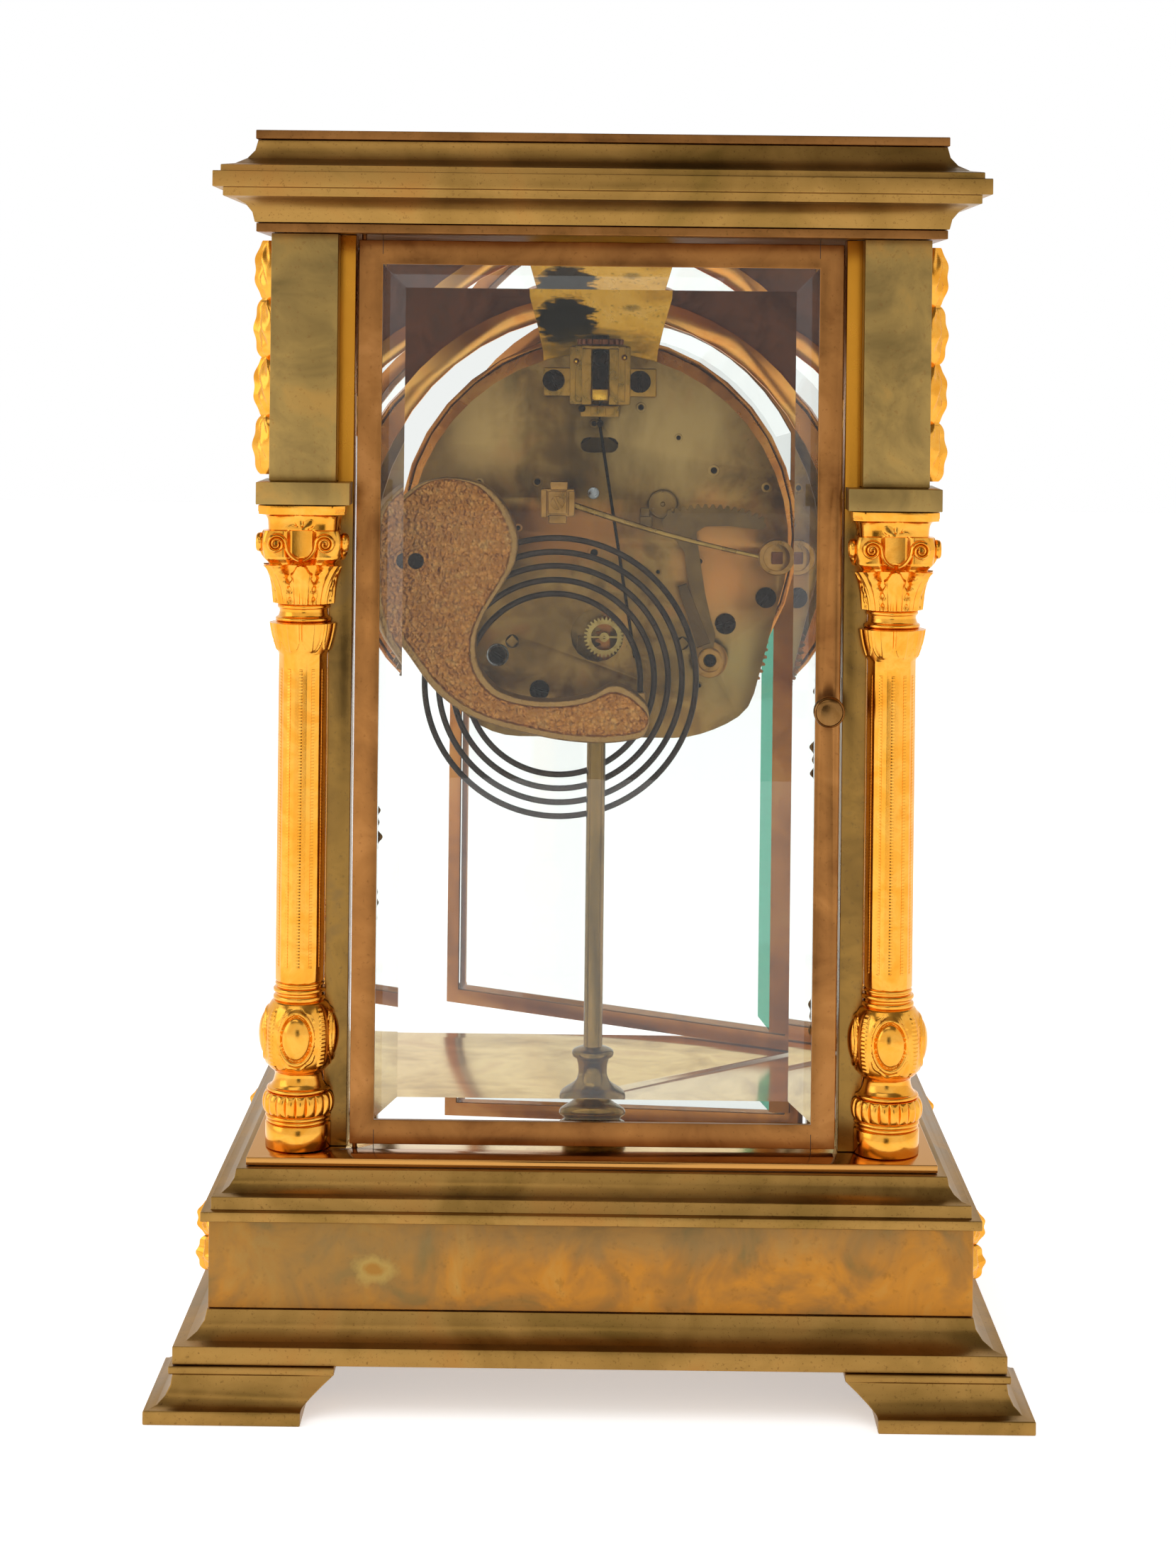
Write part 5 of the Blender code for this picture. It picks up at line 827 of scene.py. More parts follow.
def buildDialPrint():
    # each numeral is stood upright, moved out by the ring and turned to its hour; the track is two rings and 60 bars
    move, turned = mathutils.Matrix.Translation, mathutils.Matrix.Rotation
    shape = bmesh.new()
    for hour, word in enumerate(numerals["words"].split()):
        mesh = textMesh(word)
        mesh.transform(move(dialCentre - np.array([0, numerals["proud"] * mm, 0])) @ turned(math.pi / 2, 4, "X")
                       @ turned(-2 * math.pi * hour / 12, 4, "Z") @ move((0, numerals["ring"] * mm, 0))
                       @ mathutils.Matrix.Diagonal((numerals["narrow"], 1, 1, 1)))
        shape.from_mesh(mesh)
    printed = bpy.data.meshes.new("numerals")
    shape.to_mesh(printed)
    shape.free()
    piece("dial_numerals", printed, dialInk, weld=0.000001)
    inner, outer, line, proud, face = track["inner"], track["outer"], track["line"], track["proud"], dialCentre[1]
    ring = [(0, -0.02), (0, -proud), (line, -proud), (line, -0.02), (0, -0.02)]
    grids = [lathe([(start + r, h) for r, h in ring], (0, face, dialCentre[2]), 120) for start in (inner, outer)]
    for minute in range(60):
        angle = 2 * math.pi * minute / 60
        half = track["hourHalf"] if minute % 5 == 0 else track["minuteHalf"]
        along, across = np.array([math.sin(angle), math.cos(angle)]), np.array([math.cos(angle), -math.sin(angle)])
        corners = [r * along + s * half * across for r, s in ((inner, -1), (inner, 1), (outer, 1), (outer, -1))]
        grids.append(plaque([c * mm + dialCentre[[0, 2]] for c in corners], face - proud * mm,
                            face - track["sunk"] * mm, track["sunk"] * mm))
    piece("dial_minute_track", grids, dialInk, weld=0)


dialPlate = eased("dial", enamel, 0.15)
dialPlate.data.materials.append(bezelCopper)  # the copper shows at the back and rim, the enamel only in front
facing = np.array([face.normal.y for face in dialPlate.data.polygons])
dialPlate.data.polygons.foreach_set("material_index", (facing > -0.5).astype(np.int32))
buildDialPrint()
for name, body in (("minute_hand", "minute_arbor"), ("hour_hand", "hour_arbor")):
    eased(name, bluedSteel, 0.12, body)
print("dial done")

# movement: plates and wheels in their CAD form, then what stands on the rear plate; sizes in millimetres

swell = dict(angle=46.0, width=9.0, most=3.9, beyond=66)
flare = dict(low=374, high=402, more=0.19, neckLow=410, neckHigh=424)
windowWheel = dict(x=-2.7, z=271.2, ring=dict(inner=5.2, outer=8.0, depth=1.2, teeth=30, near=-2.2, far=-0.9),
                   hub=dict(inner=0.6, outer=1.9, depth=0.01, teeth=6, near=-2.4, far=-0.6),
                   spoke=(-5.6, 5.6, -2.0, -1.1, -0.5, 0.5, 0.2))
rimTeeth = dict(centre=(-0.0335, 0, 0.2693),
                ring=dict(inner=28.5, outer=34.2, depth=2.0, teeth=72, near=30.5, far=32.6))


def fillPlate(points):  # the lower right edge moves outward by a bell curve of the angle round the plate's middle
    away = np.stack([points[:, 0], points[:, 2] - dialCentre[2]], -1)
    reach = np.linalg.norm(away, axis=1)
    angle = np.degrees(np.arctan2(-away[:, 1], -away[:, 0]))
    push = swell["most"] * mm * np.exp(-((angle - swell["angle"]) / swell["width"]) ** 2)
    push *= reach > swell["beyond"] * mm
    points[:, [0, 2]] += away / np.maximum(reach, 0.001)[:, None] * push[:, None]


def flareBracket(points):  # its sides spread in a curve towards the top and less in the neck above
    high = points[:, 2] / mm
    share = np.clip((high - flare["low"]) / (flare["high"] - flare["low"]), 0, 1)
    neck = np.clip((high - flare["neckLow"]) / (flare["neckHigh"] - flare["neckLow"]), 0, 1)
    points[:, 0] *= 1 + flare["more"] * share ** 1.5 * (1 - 0.7 * neck)


def toothedRing(centre, inner, outer, depth, teeth, near, far):
    # a flat ring in X and Z whose outer radius steps in and out once for every tooth
    angle = circleAngles(teeth * 8)
    edge = outer - depth * 0.5 * (1 - np.clip(2.2 * np.cos(teeth * angle), -1, 1))
    rows = [(inner + 0 * angle, near), (edge, near), (edge, far), (inner + 0 * angle, far)]
    grid = np.array([np.c_[radius * np.cos(angle), 0 * angle + y, radius * np.sin(angle)] for radius, y in rows])
    return grid * mm + np.array(centre), True, True, False


reshape(eased("back_plate", plateBrass), fillPlate)
wheelPlace = (windowWheel["x"], plateFace / mm, windowWheel["z"])
rings = [toothedRing(np.array(wheelPlace) * mm, **windowWheel[key]) for key in ("ring", "hub")]
piece("window_ratchet_wheel", rings + blocks([windowWheel["spoke"]], wheelPlace), palePlate, weld=0, angle=30)
piece("great_wheel_rim_teeth", [toothedRing(rimTeeth["centre"], **rimTeeth["ring"])], darkCopper, "strike_great_arbor",
      weld=0, angle=30)
paint(plateBrass, "front_plate", "time_great_wheel", "time_second_wheel", "centre_wheel", "third_wheel",
      "escape_wheel", "strike_great_wheel", "strike_second_wheel", "gathering_wheel")
paint(bluedSteel, "crutch")
reshape(eased("hanger_bracket", smudgedBrass), flareBracket)


def screwHead(centre, radius, turn, near, far):
    # two half discs with the slot between them over a thin full disc, which is the slot's floor
    wide, slot = radius / mm * 0.97, 0.45 * mm
    parts = [lathe([(0, 0), (wide, 0), (wide, 0.45), (0, 0.45)], (centre[0], near, centre[1]), 32)]
    start = math.asin(min(0.95, slot / radius))
    for extra in (0, 180):
        angle = np.linspace(start, math.pi - start, 17) + math.radians(turn + extra)
        outline = np.c_[centre[0] + radius * np.cos(angle), centre[1] + radius * np.sin(angle)]
        parts.append(plaque(outline, near + 0.1 * mm, far, 0.28 * mm))
    return parts


def turnedAt(pixel, profile, steps, face=plateFace, scale=1.0):  # a turning out of the rear plate at a photo pixel
    x, z = platePlace(*pixel)
    return lathe([(radius * scale, height) for radius, height in profile], (x, face, z), steps)


# places in the photo's pixels, then a radius in millimetres and a slot in degrees; sink and pin in shares of it
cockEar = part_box("suspension_cock")[0].y + 2.7 * mm
fittings = dict(
    earScrews=((785, 536, 4.3, 62), (906, 538, 4.4, 88)),
    plateScrews=((1084, 842, 4.1, 128), (1027, 879, 4.1, 160), (706, 923, 3.4, 30), (765, 972, 3.9, 15)),
    pivots=((908, 574, 1.7), (961, 617, 1.4), (1011, 663, 2.0), (1085, 687, 1.7), (680, 680, 1.5), (762, 679, 1.9),
            (842, 597, 1.6), (735, 744, 1.4), (842, 779, 2.3), (991, 791, 1.6), (932, 806, 1.2), (990, 966, 1.3)),
    sink=[(0.62, 0.02), (0.72, 0.16), (1.0, 0.18), (1.12, 0.10), (1.2, 0)],
    pin=[(0, 0.12), (0.3, 0.12), (0.66, 0.03), (0.68, -0.3), (0, -0.3)],
    studAt=(841, 695), stud=[(0, 0.7), (1.6, 0.7), (2.2, 0.4), (2.4, 0), (2.4, -0.3), (0, -0.3)],
    collarAt=(706, 923), collar=[(3.5, 0), (3.6, 0.5), (4.1, 0.7), (4.4, 0.4), (4.5, 0)],
    detentAt=(915, 731), detent=((-2.5, 2.5, 0, 3.4, -4.4, 1.0, 0.5), (-1.6, 2.2, 0, 2.6, 0.6, 4.3, 0.5)))
grids = []
for key, face in (("earScrews", cockEar), ("plateScrews", plateFace)):
    for px, py, radius, turn in fittings[key]:
        grids += screwHead(platePlace(px, py), radius * mm, turn, face - 0.05 * mm, face + 1.3 * mm)
piece("movement_screws", grids, bluedSteel, weld=0, angle=40)
for name, key, material in (("pivot_oil_sinks", "sink", plateBrass), ("pivot_ends", "pin", bluedSteel)):
    grids = [turnedAt((px, py), fittings[key], 24, scale=radius) for px, py, radius in fittings["pivots"]]
    piece(name, grids, material, weld=0)
piece("steel_studs", [turnedAt(fittings["studAt"], fittings["stud"], 32),
                      turnedAt(fittings["collarAt"], fittings["collar"], 40)], brightSteel, weld=0)
x, z = platePlace(*fittings["detentAt"])
piece("detent_tip", blocks(fittings["detent"], (x / mm, plateFace / mm, z / mm)), rackBrass)
print("movement plate done")

# suspension: eared cock, cheeks round the dark spring block, ribbed nut, rating wheel seen edge on; blocks as rows of
# x, y and z from the cock's front face, in millimetres

cock = dict(ears=((-22.2, 22.2, 0, 2.6, 366.0, 377.2, 0.6), (-11.9, 11.9, 0, 5.0, 362.8, 385.6, 0.5),
                  (-9.8, 9.8, 4, 7.5, 364.0, 385.9, 0.4)),
            cheeks=((-7.1, -3.3, 7, 14.6, 362.9, 384.8, 0.4), (3.3, 7.1, 7, 14.6, 362.9, 384.8, 0.4)),
            foot=((-7.5, 7.5, 1.5, 12.5, 358.2, 362.6, 0.4), (-5.6, -2.2, 12, 13.6, 358.8, 362.0, 0.3),
                  (1.0, 3.6, 12, 13.6, 358.8, 362.2, 0.3), (-7.1, 7.1, 7, 13.0, 384.4, 386.0, 0.3)),
            spring=((-3.0, 3.0, 9.0, 15.4, 368.6, 384.2, 0.4), (-0.35, 0.35, 7.2, 8.4, 354.8, 363.4, 0.1)),
            springCap=[(0, 2.0), (1.6, 1.9), (2.7, 1.2), (3.0, 0.3), (3.0, -1), (0, -1)],
            taperPin=[(0, 2.6), (0.5, 2.4), (1.1, 1.0), (1.2, 0), (0, 0)],
            nut=[(0, 364.9), (2.7, 364.9), (2.95, 365.2), (2.95, 368.8), (2.7, 369.1), (0, 369.1)],
            bit=[(0, 0.8), (1.0, 0.7), (1.4, 0.2), (1.4, -0.4), (0, -0.4)])
rating = dict(rim=[(3.0, 386.3), (8.9, 386.3), (9.1, 386.5), (9.1, 388.3), (8.9, 388.5), (3.0, 388.5)],
              cuts=20, cut=0.9,
              stem=[(0, 377.4), (1.6, 377.4), (1.6, 385.0), (1.6, 386.25), (3.4, 386.25), (3.6, 386.6), (3.6, 389.4),
                    (3.2, 390.1), (0, 390.1)])


def ribs(angle, height):  # half-round ribs down the nut
    return 0.16 * np.abs(np.sin(11 * angle))


def rimCuts(angle, height):  # square cuts round the rim of the rating wheel
    return -rating["cut"] * (np.cos(rating["cuts"] * angle) > 0.25) * (height > 386.2)


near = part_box("suspension_cock")[0].y / mm
cap = lathe(cock["springCap"], (0, (near + 15.1) * mm, 0.3812), 32)
pins = [lathe(cock["taperPin"], (x * mm, (near + 7.3) * mm, z * mm), 20) for x, z in ((9.4, 379.8), (-9.4, 381.4))]
piece("suspension_cock_block", blocks(cock["ears"] + cock["cheeks"] + cock["foot"], (0, near, 0)), cockBrass, "case",
      "suspension_cock", angle=40)
piece("suspension_taper_pins", pins, brightBrass, weld=0)
spring = blocks(cock["spring"], (0, near, 0))
piece("suspension_spring_block", [spring[0], cap, spring[1]], bluedSteel, "case", "suspension_spring",
      angle=40)
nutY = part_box("suspension_spring")[1].y - 3.1 * mm
ratingY = (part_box("rating_wheel")[0].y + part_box("rating_wheel")[1].y) / 2
piece("suspension_nut", [lathe(cock["nut"], (0, nutY, 0), 88, "z", ribs)], brightBrass, angle=50)
piece("suspension_bit", [turnedAt((825, 575), cock["bit"], 24, (near + 12.6) * mm)], bluedSteel)
piece("rating_wheel_rim", [lathe(rating["rim"], (0, ratingY, 0), 320, "z", rimCuts)], darkBronze, "rating_screw",
      "rating_wheel", angle=40)
piece("rating_hub", [lathe(rating["stem"], (0, ratingY, 0), 48, "z")], bluedSteel, "rating_screw", angle=40)
print("suspension done")

# striking work: hammer on its rod, rack with hub and strap, gathering ring; in millimetres

hammer = dict(x=-68.8, z=305.0, plane=61.25, headX=15.9, headZ=325.6, deep=13.0, half=1.8, foot=5.6, sag=1.3,
              square=(-2.2, 2.2, 1.3, 3.5, -2.4, 2.2, 0.35),
              head=((-6.4, 5.8, 0, 11.4, -5.4, 5.2, 0.5), (-3.9, 2.8, 1, 12.1, 4.8, 8.0, 0.6),
                    (-3.6, 3.4, 1, 12.1, -8.0, -4.8, 0.6), (-6.6, -4.2, 0, 12.4, -4.9, 4.4, 0.4),
                    (4.0, 6.3, 0, 12.4, -5.7, 4.9, 0.4), (-3.7, 3.6, 2, 13.0, -4.2, 4.4, 0.5)))


def buildHammer():
    # turned arbor and disc, a rod that sags in half a sine wave, and a head of rounded blocks
    x, z, plane, headX, headZ, half = (hammer[key] for key in ("x", "z", "plane", "headX", "headZ", "half"))
    near, far, back = plane - half, plane + half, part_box("hammer")[1].y / mm
    place = (x * mm, 0, z * mm)
    arbor = lathe([(0, hammer["foot"]), (2.0, hammer["foot"]), (2.0, near), (0, near)], place, 32)
    disc = lathe([(0, near), (6.6, near), (6.9, near + 0.3), (6.9, far - 0.3), (6.6, far), (5.2, far + 0.02),
                  (5.1, far - 0.12), (4.9, far + 0.02), (2.6, far + 0.05), (0, far + 0.05)], place, 72)
    piece("hammer_collet", [arbor, disc], colletBrass, "hammer_arm", None)
    piece("hammer_square", blocks([hammer["square"]], (x, plane, z)), darkBronze, "hammer_arm")
    t = np.linspace(0, 1, 24)[:, None]
    start, end = np.array([x + 6.0, plane, z]), np.array([headX - 5.0, plane, headZ - 1.0])
    path = (start + (end - start) * t + np.array([0, 0, -hammer["sag"]]) * np.sin(math.pi * t)) * mm
    piece("hammer_rod", [tubeAlong(path, np.linspace(0.75, 1.25, 24) * mm, (0, 1, 0), 14, 0.8)], rodBrass, "hammer_arm")
    piece("hammer_head", blocks(hammer["head"], (headX, back - hammer["deep"], headZ)), colletBrass, "hammer_arm",
          "hammer", angle=40)
    piece("hammer_head_screw", screwHead((headX * mm, headZ * mm), 2.6 * mm, 62, (back - 0.1) * mm, (back + 0.9) * mm),
          colletBrass, "hammer_arm", weld=0, angle=40)


# the outline's points are in an enlarged crop of the photo: its scale, and the pixel and corner that it starts from
rack = dict(pivot=(-44.1, 263.4), teeth=14, tooth=1.7, scale=2.45, pixel=(930, 700), corner=314, near=-2.2, far=-0.9,
            top=((345, 55), (400, 38), (470, 30), (540, 33), (610, 45), (660, 62), (688, 80)),
            low=((690, 96), (680, 110), (640, 108), (560, 98), (480, 100), (452, 118), (450, 130), (465, 230),
                 (480, 330), (500, 420), (515, 470), (505, 540), (485, 540), (460, 500), (450, 420), (435, 340),
                 (415, 250), (410, 190), (380, 150), (335, 110), (332, 80)),
            hub=[(2.3, -0.6), (2.3, 0.5), (2.6, 0.9), (4.2, 0.95), (4.7, 0.6), (4.8, -0.3), (4.8, -2.4), (6.7, -2.5),
                 (7.1, -2.8), (7.1, -3.6), (2.3, -3.6)],
            pin=[(0, 0.5), (1.2, 0.5), (1.9, 0.1), (2.2, -0.4), (0, -0.4)],
            strapFrom=(966, 822), strapWide=(2.0, 3.0, 2.4, 1.6))
gathering = dict(x=-25.1, z=324.0, proud=2.4,
                 ring=[(4.9, -0.3), (5.0, 0.25), (5.5, 0.3), (5.7, 0.0), (5.7, -1.0), (4.9, -1.0)],
                 end=[(0, 0.5), (0.7, 0.45), (1.0, 0.1), (1.0, -0.3), (0, -0.3)])


def onPlate(points):  # points of the enlarged crop as X and Z on the plate
    return np.array([platePlace(rack["pixel"][0] + (x - rack["corner"]) / rack["scale"],
                                rack["pixel"][1] + y / rack["scale"]) for x, y in points])


def evenly(line, count):  # a line of points resampled at even steps, with the length run at each
    run = np.concatenate([[0], np.cumsum(np.linalg.norm(np.diff(line, axis=0), axis=1))])
    at = np.linspace(0, run[-1], count)
    return np.c_[np.interp(at, run, line[:, 0]), np.interp(at, run, line[:, 1])], at


def buildRack():
    # outline with the teeth as a saw wave square to the top edge, given thickness as a flat plate
    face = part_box("rack")[1].y / mm
    line, at = evenly(onPlate(rack["top"]), rack["teeth"] * 6 + 1)
    slope = np.gradient(line, axis=0)
    outward = np.c_[slope[:, 1], -slope[:, 0]] / np.linalg.norm(slope, axis=1)[:, None]
    outward *= np.sign(outward[:, 1:2])
    saw = np.clip(1.6 - np.abs(at / at[-1] * rack["teeth"] % 1 - 0.5) * 4, 0, 1) - 0.5
    outline = np.vstack([line + outward * saw[:, None] * rack["tooth"] * mm, onPlate(rack["low"])])
    rings = [np.c_[outline[:, 0], np.full(len(outline), (face + y) * mm), outline[:, 1]]
             for y in (rack["near"], rack["far"])]
    piece("rack_plate_toothed", [prism(rings)], rackBrass, "rack_arm", "rack",
          angle=30, weld=0)
    pivot = np.array(rack["pivot"]) * mm
    place = (pivot[0], face * mm, pivot[1])
    piece("rack_hub_ring", [lathe(rack["hub"], place, 64)], colletBrass, "rack_arm")
    piece("rack_hub_pin", [lathe(rack["pin"], place, 32)], bluedSteel, "rack_arm")
    start = np.array(platePlace(*rack["strapFrom"]))
    across = np.array([-(pivot - start)[1], (pivot - start)[0]]) / np.linalg.norm(pivot - start) * mm
    end = pivot + (start - pivot) * 0.20
    a, b, c, d = rack["strapWide"]
    strap = [start + across * a, end + across * b, end - across * c, start - across * d]
    piece("rack_strap", [plaque(strap, (face - 0.95) * mm, (face - 0.2) * mm, 0.3 * mm)], strapBrass, "rack_arm",
          weld=0)


buildHammer()
buildRack()
place = (gathering["x"] * mm, plateFace + gathering["proud"] * mm, gathering["z"] * mm)
piece("gathering_ring_edge", [lathe(gathering["ring"], place, 56), lathe(gathering["end"], place, 20)],
      rackBrass, "gathering_arbor", weld=0)
print("striking work done")

# gong: rough comma-shaped block with a smooth rim, steel spiral, turned stand; in millimetres

gong = dict(x=15.4, z=257.2, outer=55.0, pitch=5.35, turns=4.3, wire=1.15, blockWide=101.3, blockTall=100.0, deep=12.0,
            rim=3.0, rounding=0.9, skin=0.42, collet=(-18.6, -14.6, 246.9, 252.9), screw=(69.2, 303.4),
            screwRim=[(3.0, -0.5), (3.1, 0.15), (3.9, 0.25), (4.3, 0.0), (4.3, -0.5)])
# the block's inner and outer edges, in shares of its width and height
blockInner = ((0.77, 1.00), (0.70, 0.995), (0.62, 0.97), (0.545, 0.89), (0.50, 0.78), (0.51, 0.68), (0.565, 0.58),
              (0.615, 0.50), (0.65, 0.41), (0.65, 0.32), (0.62, 0.25), (0.555, 0.19), (0.44, 0.16), (0.32, 0.16),
              (0.22, 0.18), (0.14, 0.22), (0.07, 0.20), (0.01, 0.145), (0.00, 0.10))
blockOuter = ((0.78, 1.00), (0.85, 0.985), (0.915, 0.945), (0.985, 0.865), (1.00, 0.75), (0.995, 0.55), (0.96, 0.41),
              (0.90, 0.32), (0.81, 0.20), (0.71, 0.12), (0.60, 0.07), (0.46, 0.035), (0.33, 0.01), (0.19, 0.00),
              (0.08, 0.01), (0.02, 0.03), (0.00, 0.08))
standTurning = [(0, 12.2), (1.6, 12.5), (3.0, 12.3), (3.9, 10.9), (4.8, 12.2), (5.8, 12.3), (6.8, 10.7), (7.8, 12.3),
                (8.8, 12.4), (9.8, 10.8), (10.6, 11.2), (11.6, 12.4), (12.8, 12.6), (14.2, 12.0), (15.6, 10.2),
                (17.0, 8.0), (18.6, 6.4), (21.0, 5.5), (24.0, 5.5), (26.2, 6.0), (27.2, 6.3), (27.8, 7.5),
                (28.8, 7.9), (29.9, 7.7), (30.8, 6.2), (31.4, 4.4)]


def pimples(x, z):  # overlapping waves of unlike length and direction, in millimetres, give a cast skin
    total = 0
    for length, turn, phase in ((2.1, 0.3, 0.0), (2.9, 1.4, 1.1), (1.7, 2.3, 2.0), (3.7, 0.9, 0.4), (2.4, 2.9, 3.3)):
        wave = 2 * math.pi * (x * math.cos(turn) + z * math.sin(turn)) / length
        total = total + np.sin(wave + phase + 0.9 * np.sin(z / 1.9 + x / 2.7))
    return total / 5


def buildGongBlock():
    # rows run from the inner to the outer edge; the face sinks by the skin and rises to a smooth rim at both edges
    low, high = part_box("gong_block")
    inner, outer = (evenly(curve(edge, 0.02), 300)[0] for edge in (blockInner, blockOuter))
    t = np.concatenate([[0, 0.012], np.linspace(0.03, 0.97, 94), [0.988, 1]])[None, :, None]
    flat = inner[:, None] + (outer - inner)[:, None] * t
    x = low.x + flat[..., 0] * (high.x - low.x)
    z = high.z + (flat[..., 1] - 1) * gong["blockTall"] * mm
    width = np.linalg.norm((outer - inner) * np.array([gong["blockWide"], gong["blockTall"]]), axis=1)[:, None]
    edge = np.minimum(t[..., 0], 1 - t[..., 0]) * width
    rimShare = 1 - step(gong["rim"] * 0.75, gong["rim"] * 1.15, edge)
    rounding = gong["rounding"] * (1 - arch(1 - np.clip(edge / gong["rounding"], 0, 1)))
    skin = gong["skin"] * pimples(x / mm, z / mm) - 1.15 + 0.5 * step(20, 60, width)
    front = np.stack([x, high.y + ((1 - rimShare) * skin - rounding) * mm, z], -1)
    back = front.copy()
    back[..., 1] = high.y - gong["deep"] * mm
    shell = slab(front, back)
    x0, x1, z0, z1 = (value * mm for value in gong["collet"])
    collet = block((x0, low.y, z0), (x1, high.y - (gong["deep"] - 0.1) * mm, z1), 0.4)
    mesh = surfaceMesh("gong_block_cast", [shell, collet])
    smooth = np.ones(len(mesh.vertices))
    smooth[:shell[0].shape[0] * shell[0].shape[1]] = np.hstack([rimShare, np.ones_like(rimShare)]).ravel()
    mesh.attributes.new("rim", "FLOAT", "POINT").data.foreach_set("value", smooth)
    piece("gong_block_cast", mesh, gongBlockIron, "case", "gong_block", angle=60, weld=0.000002)


def buildGongCoil():
    # a wire along a spiral whose radius grows with the angle, wavering a little in depth
    low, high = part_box("gong_coil")
    inner, turn = gong["outer"] - gong["turns"] * gong["pitch"], np.linspace(0, gong["turns"], 420)
    reach, angle = inner + gong["pitch"] * turn, math.pi - 2 * math.pi * turn
    across = np.concatenate([[-inner, -inner], reach * np.cos(angle)]) + gong["x"]
    up = np.concatenate([[-4.0, -2.0], reach * np.sin(angle)]) + gong["z"]
    deep = (low.y + high.y) / 2 / mm + 0.12 * np.sin(np.arange(len(up)) / 9.0)
    wire = tubeAlong(np.c_[across, deep, up] * mm, gong["wire"] * mm, (0, 1, 0), 12)
    piece("gong_coil_wire", [wire], gongWire, "case", "gong_coil")


def buildGongStand():
    # the turning's curve on a flat foot, with a plain neck up to the node's top
    low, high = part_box("gong_stand")
    top = (high.z - low.z) / mm
    profile = [(0, 0)] + [(r, h) for h, r in curve(standTurning, 0.3)] + [(3.55, 31.6), (3.55, top), (0, top)]
    piece("gong_stand_turned", [lathe(profile, (0, (low.y + high.y) / 2, low.z), 64, "z")], standBrass, "case",
          "gong_stand", angle=32)


buildGongBlock()
buildGongCoil()
buildGongStand()
x, z = (value * mm for value in gong["screw"])
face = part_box("gong_block")[1].y - 0.3 * mm
piece("gong_screw_rim", [lathe(gong["screwRim"], (x, face, z), 40)], gongBlockIron, weld=0)
piece("gong_screw", screwHead((x, z), 3.0 * mm, 20, face - 0.4 * mm, face + 0.1 * mm), bluedSteel, weld=0, angle=40)
print("gong done")

# picture: camera, white world, lamps and cards, and a floor that takes the shadow; in metres and degrees

view = dict(place=(0.00145, 1.184, 0.3833), yaw=0.173, roll=0.638, lens=66.71, shiftY=-0.27534)
lamps = dict(ceilingLamp=dict(place=(0.3, 0.7, 1.7), size=1.2, watts=6),
             sideLamp=dict(place=(1.4, 0.5, 0.7), size=0.9, watts=2.5))
cards = dict(dimCeiling=dict(corners=((-1.6, -1.2, 1.6), (1.6, -1.2, 1.6), (1.6, 2.0, 1.6), (-1.6, 2.0, 1.6)),
                             tone="#666059"),
             darkDoorway=dict(corners=((-0.20, 1.5, 0.02), (0.20, 1.5, 0.02), (0.20, 1.5, 0.50), (-0.20, 1.5, 0.50)),
                              tone="#100e0c"))
ground = dict(half=6.0, glow=0.45)


def stageObject(name, data):  # puts an object in the scene that isn't part of the clock
    obj = bpy.data.objects.new(name, data)
    bpy.context.scene.collection.objects.link(obj)
    return obj


def placeCamera():  # level, looking along -Y, turned by yaw and rolled by a fraction of a degree
    lens = bpy.data.cameras.new("camera")
    lens.lens, lens.sensor_width, lens.sensor_fit, lens.shift_y = view["lens"], 36, "AUTO", view["shiftY"]
    lens.clip_start, lens.clip_end = 0.05, 50
    camera = stageObject("camera", lens)
    camera.location = view["place"]
    turned = mathutils.Matrix.Rotation
    camera.rotation_euler = (turned(math.pi + math.radians(view["yaw"]), 4, "Z") @ turned(math.pi / 2, 4, "X")
                             @ turned(math.radians(view["roll"]), 4, "Z")).to_euler()
    bpy.context.scene.camera = camera


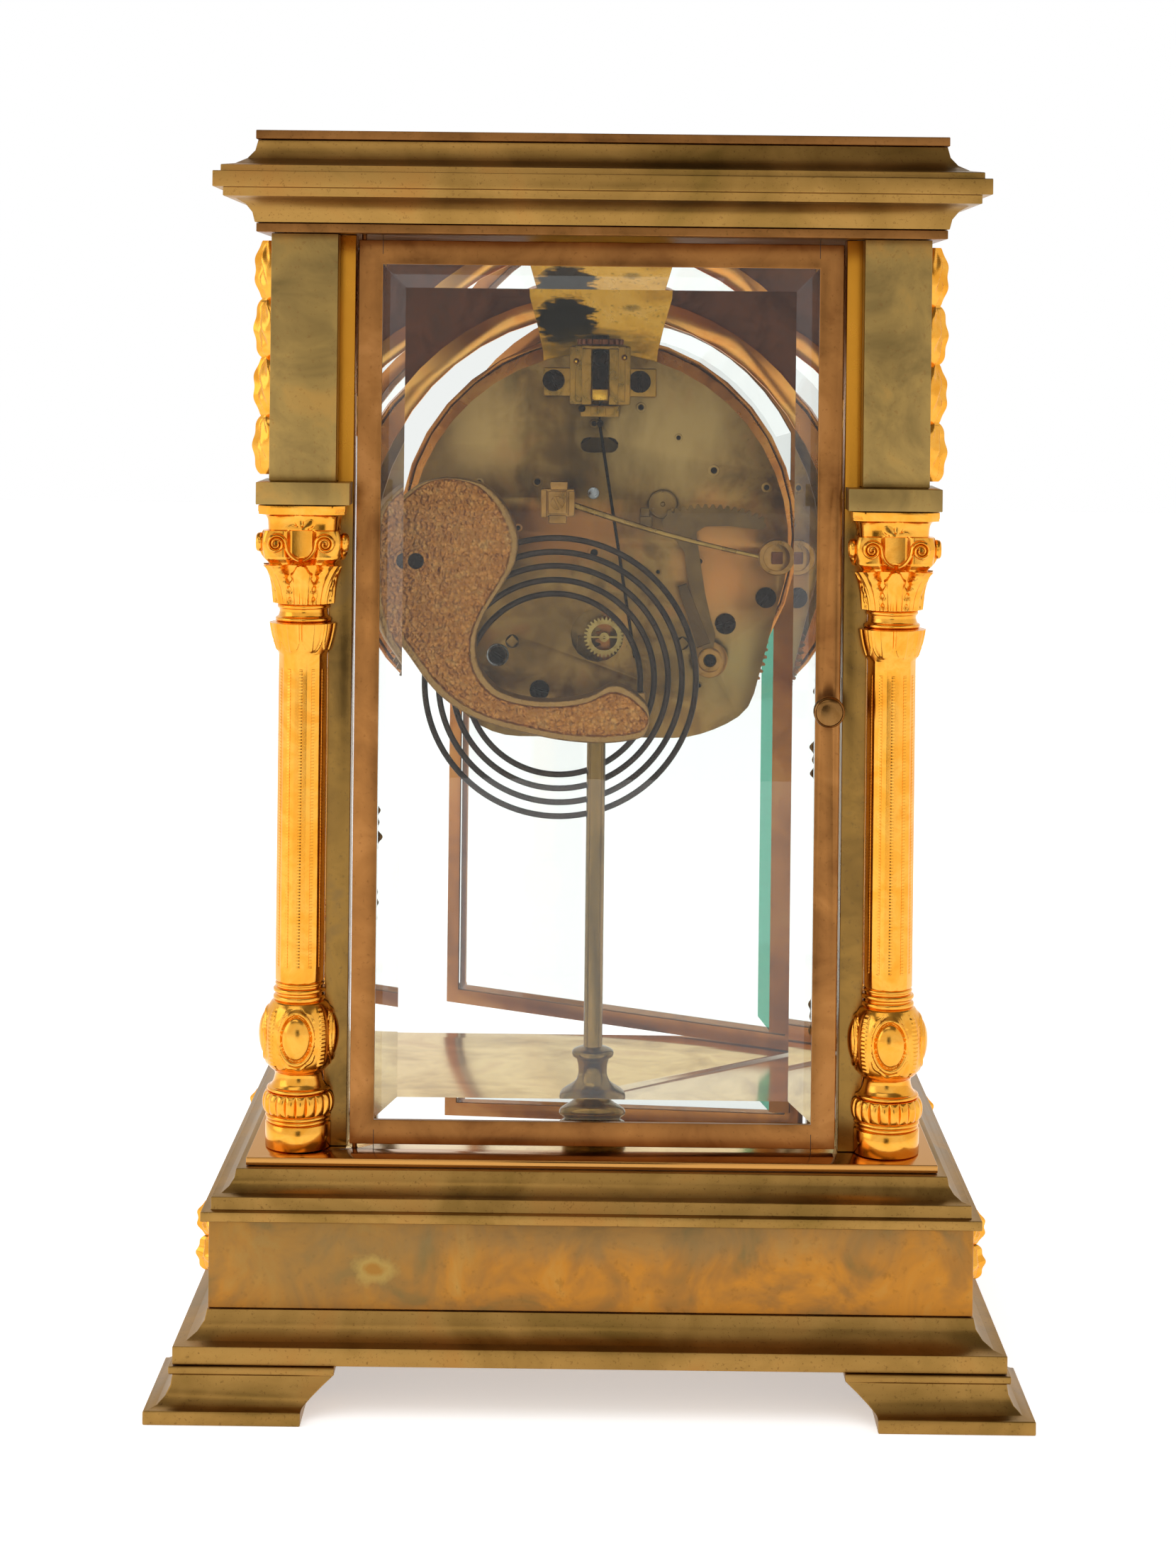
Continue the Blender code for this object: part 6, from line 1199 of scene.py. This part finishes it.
def whiteWorld():  # white to the camera, glass and glossy rays; a plainer level lights the metal
    world = bpy.data.worlds.new("photoStudio")
    bpy.context.scene.world = world
    world.use_nodes = True
    tree = world.node_tree
    path = addNode(tree, "LightPath")
    seen = path.outputs["Is Camera Ray"]
    for ray in ("Is Transmission Ray", "Is Glossy Ray"):
        seen = addNode(tree, "Math", {"operation": "MAXIMUM"}, {0: seen, 1: path.outputs[ray]}).outputs[0]
    strength = addNode(tree, "MapRange", {"To Min": 0.75, "To Max": 1.0}, {"Value": seen})
    tree.links.new(strength.outputs["Result"], tree.nodes["Background"].inputs["Strength"])
    tree.nodes["Background"].inputs["Color"].default_value = (1, 1, 1, 1)


def addLamp(name, lamp):  # a square lamp that looks at the middle of the clock
    light = bpy.data.lights.new(name, "AREA")
    light.shape, light.size, light.energy = "SQUARE", lamp["size"], lamp["watts"]
    obj = stageObject(name, light)
    obj.location = lamp["place"]
    aim = mathutils.Vector((0, 0, 0.25)) - mathutils.Vector(lamp["place"])
    obj.rotation_euler = aim.to_track_quat("-Z", "Y").to_euler()


def addSheet(name, finish, corners, tone, roughness):  # one flat quad in a plain colour
    mesh = bpy.data.meshes.new(name)
    mesh.from_pydata(corners, [], [(0, 1, 2, 3)])
    material, tree, shader = newMaterial(finish)
    shader.inputs["Base Color"].default_value = linearColour(tone)
    shader.inputs["Roughness"].default_value = roughness
    mesh.materials.append(material)
    return stageObject(name, mesh), tree, shader


def addFloor():  # white paper that glows up to the background's white and keeps only the shadow
    half = ground["half"]
    corners = [(-half, -half, 0), (half, -half, 0), (half, half, 0), (-half, half, 0)]
    obj, tree, shader = addSheet("ground", "whitePaperGround", corners, "#ffffff", 0.6)
    glow = addNode(tree, "Emission", {"Color": (1, 1, 1, 1), "Strength": ground["glow"]})
    mix = addNode(tree, "AddShader", links={0: shader.outputs["BSDF"], 1: glow.outputs["Emission"]})
    tree.links.new(mix.outputs["Shader"], tree.nodes["Material Output"].inputs["Surface"])


placeCamera()
whiteWorld()
for name, card in cards.items():  # dim parts of the room, seen only as reflections in metal and glass
    obj = addSheet(name, name + "Cloth", card["corners"], card["tone"], 0.9)[0]
    obj.visible_camera = obj.visible_diffuse = obj.visible_transmission = obj.visible_shadow = False
for name, lamp in lamps.items():
    addLamp(name, lamp)
addFloor()
bpy.context.scene.view_settings.view_transform = "Standard"
print("picture set up")
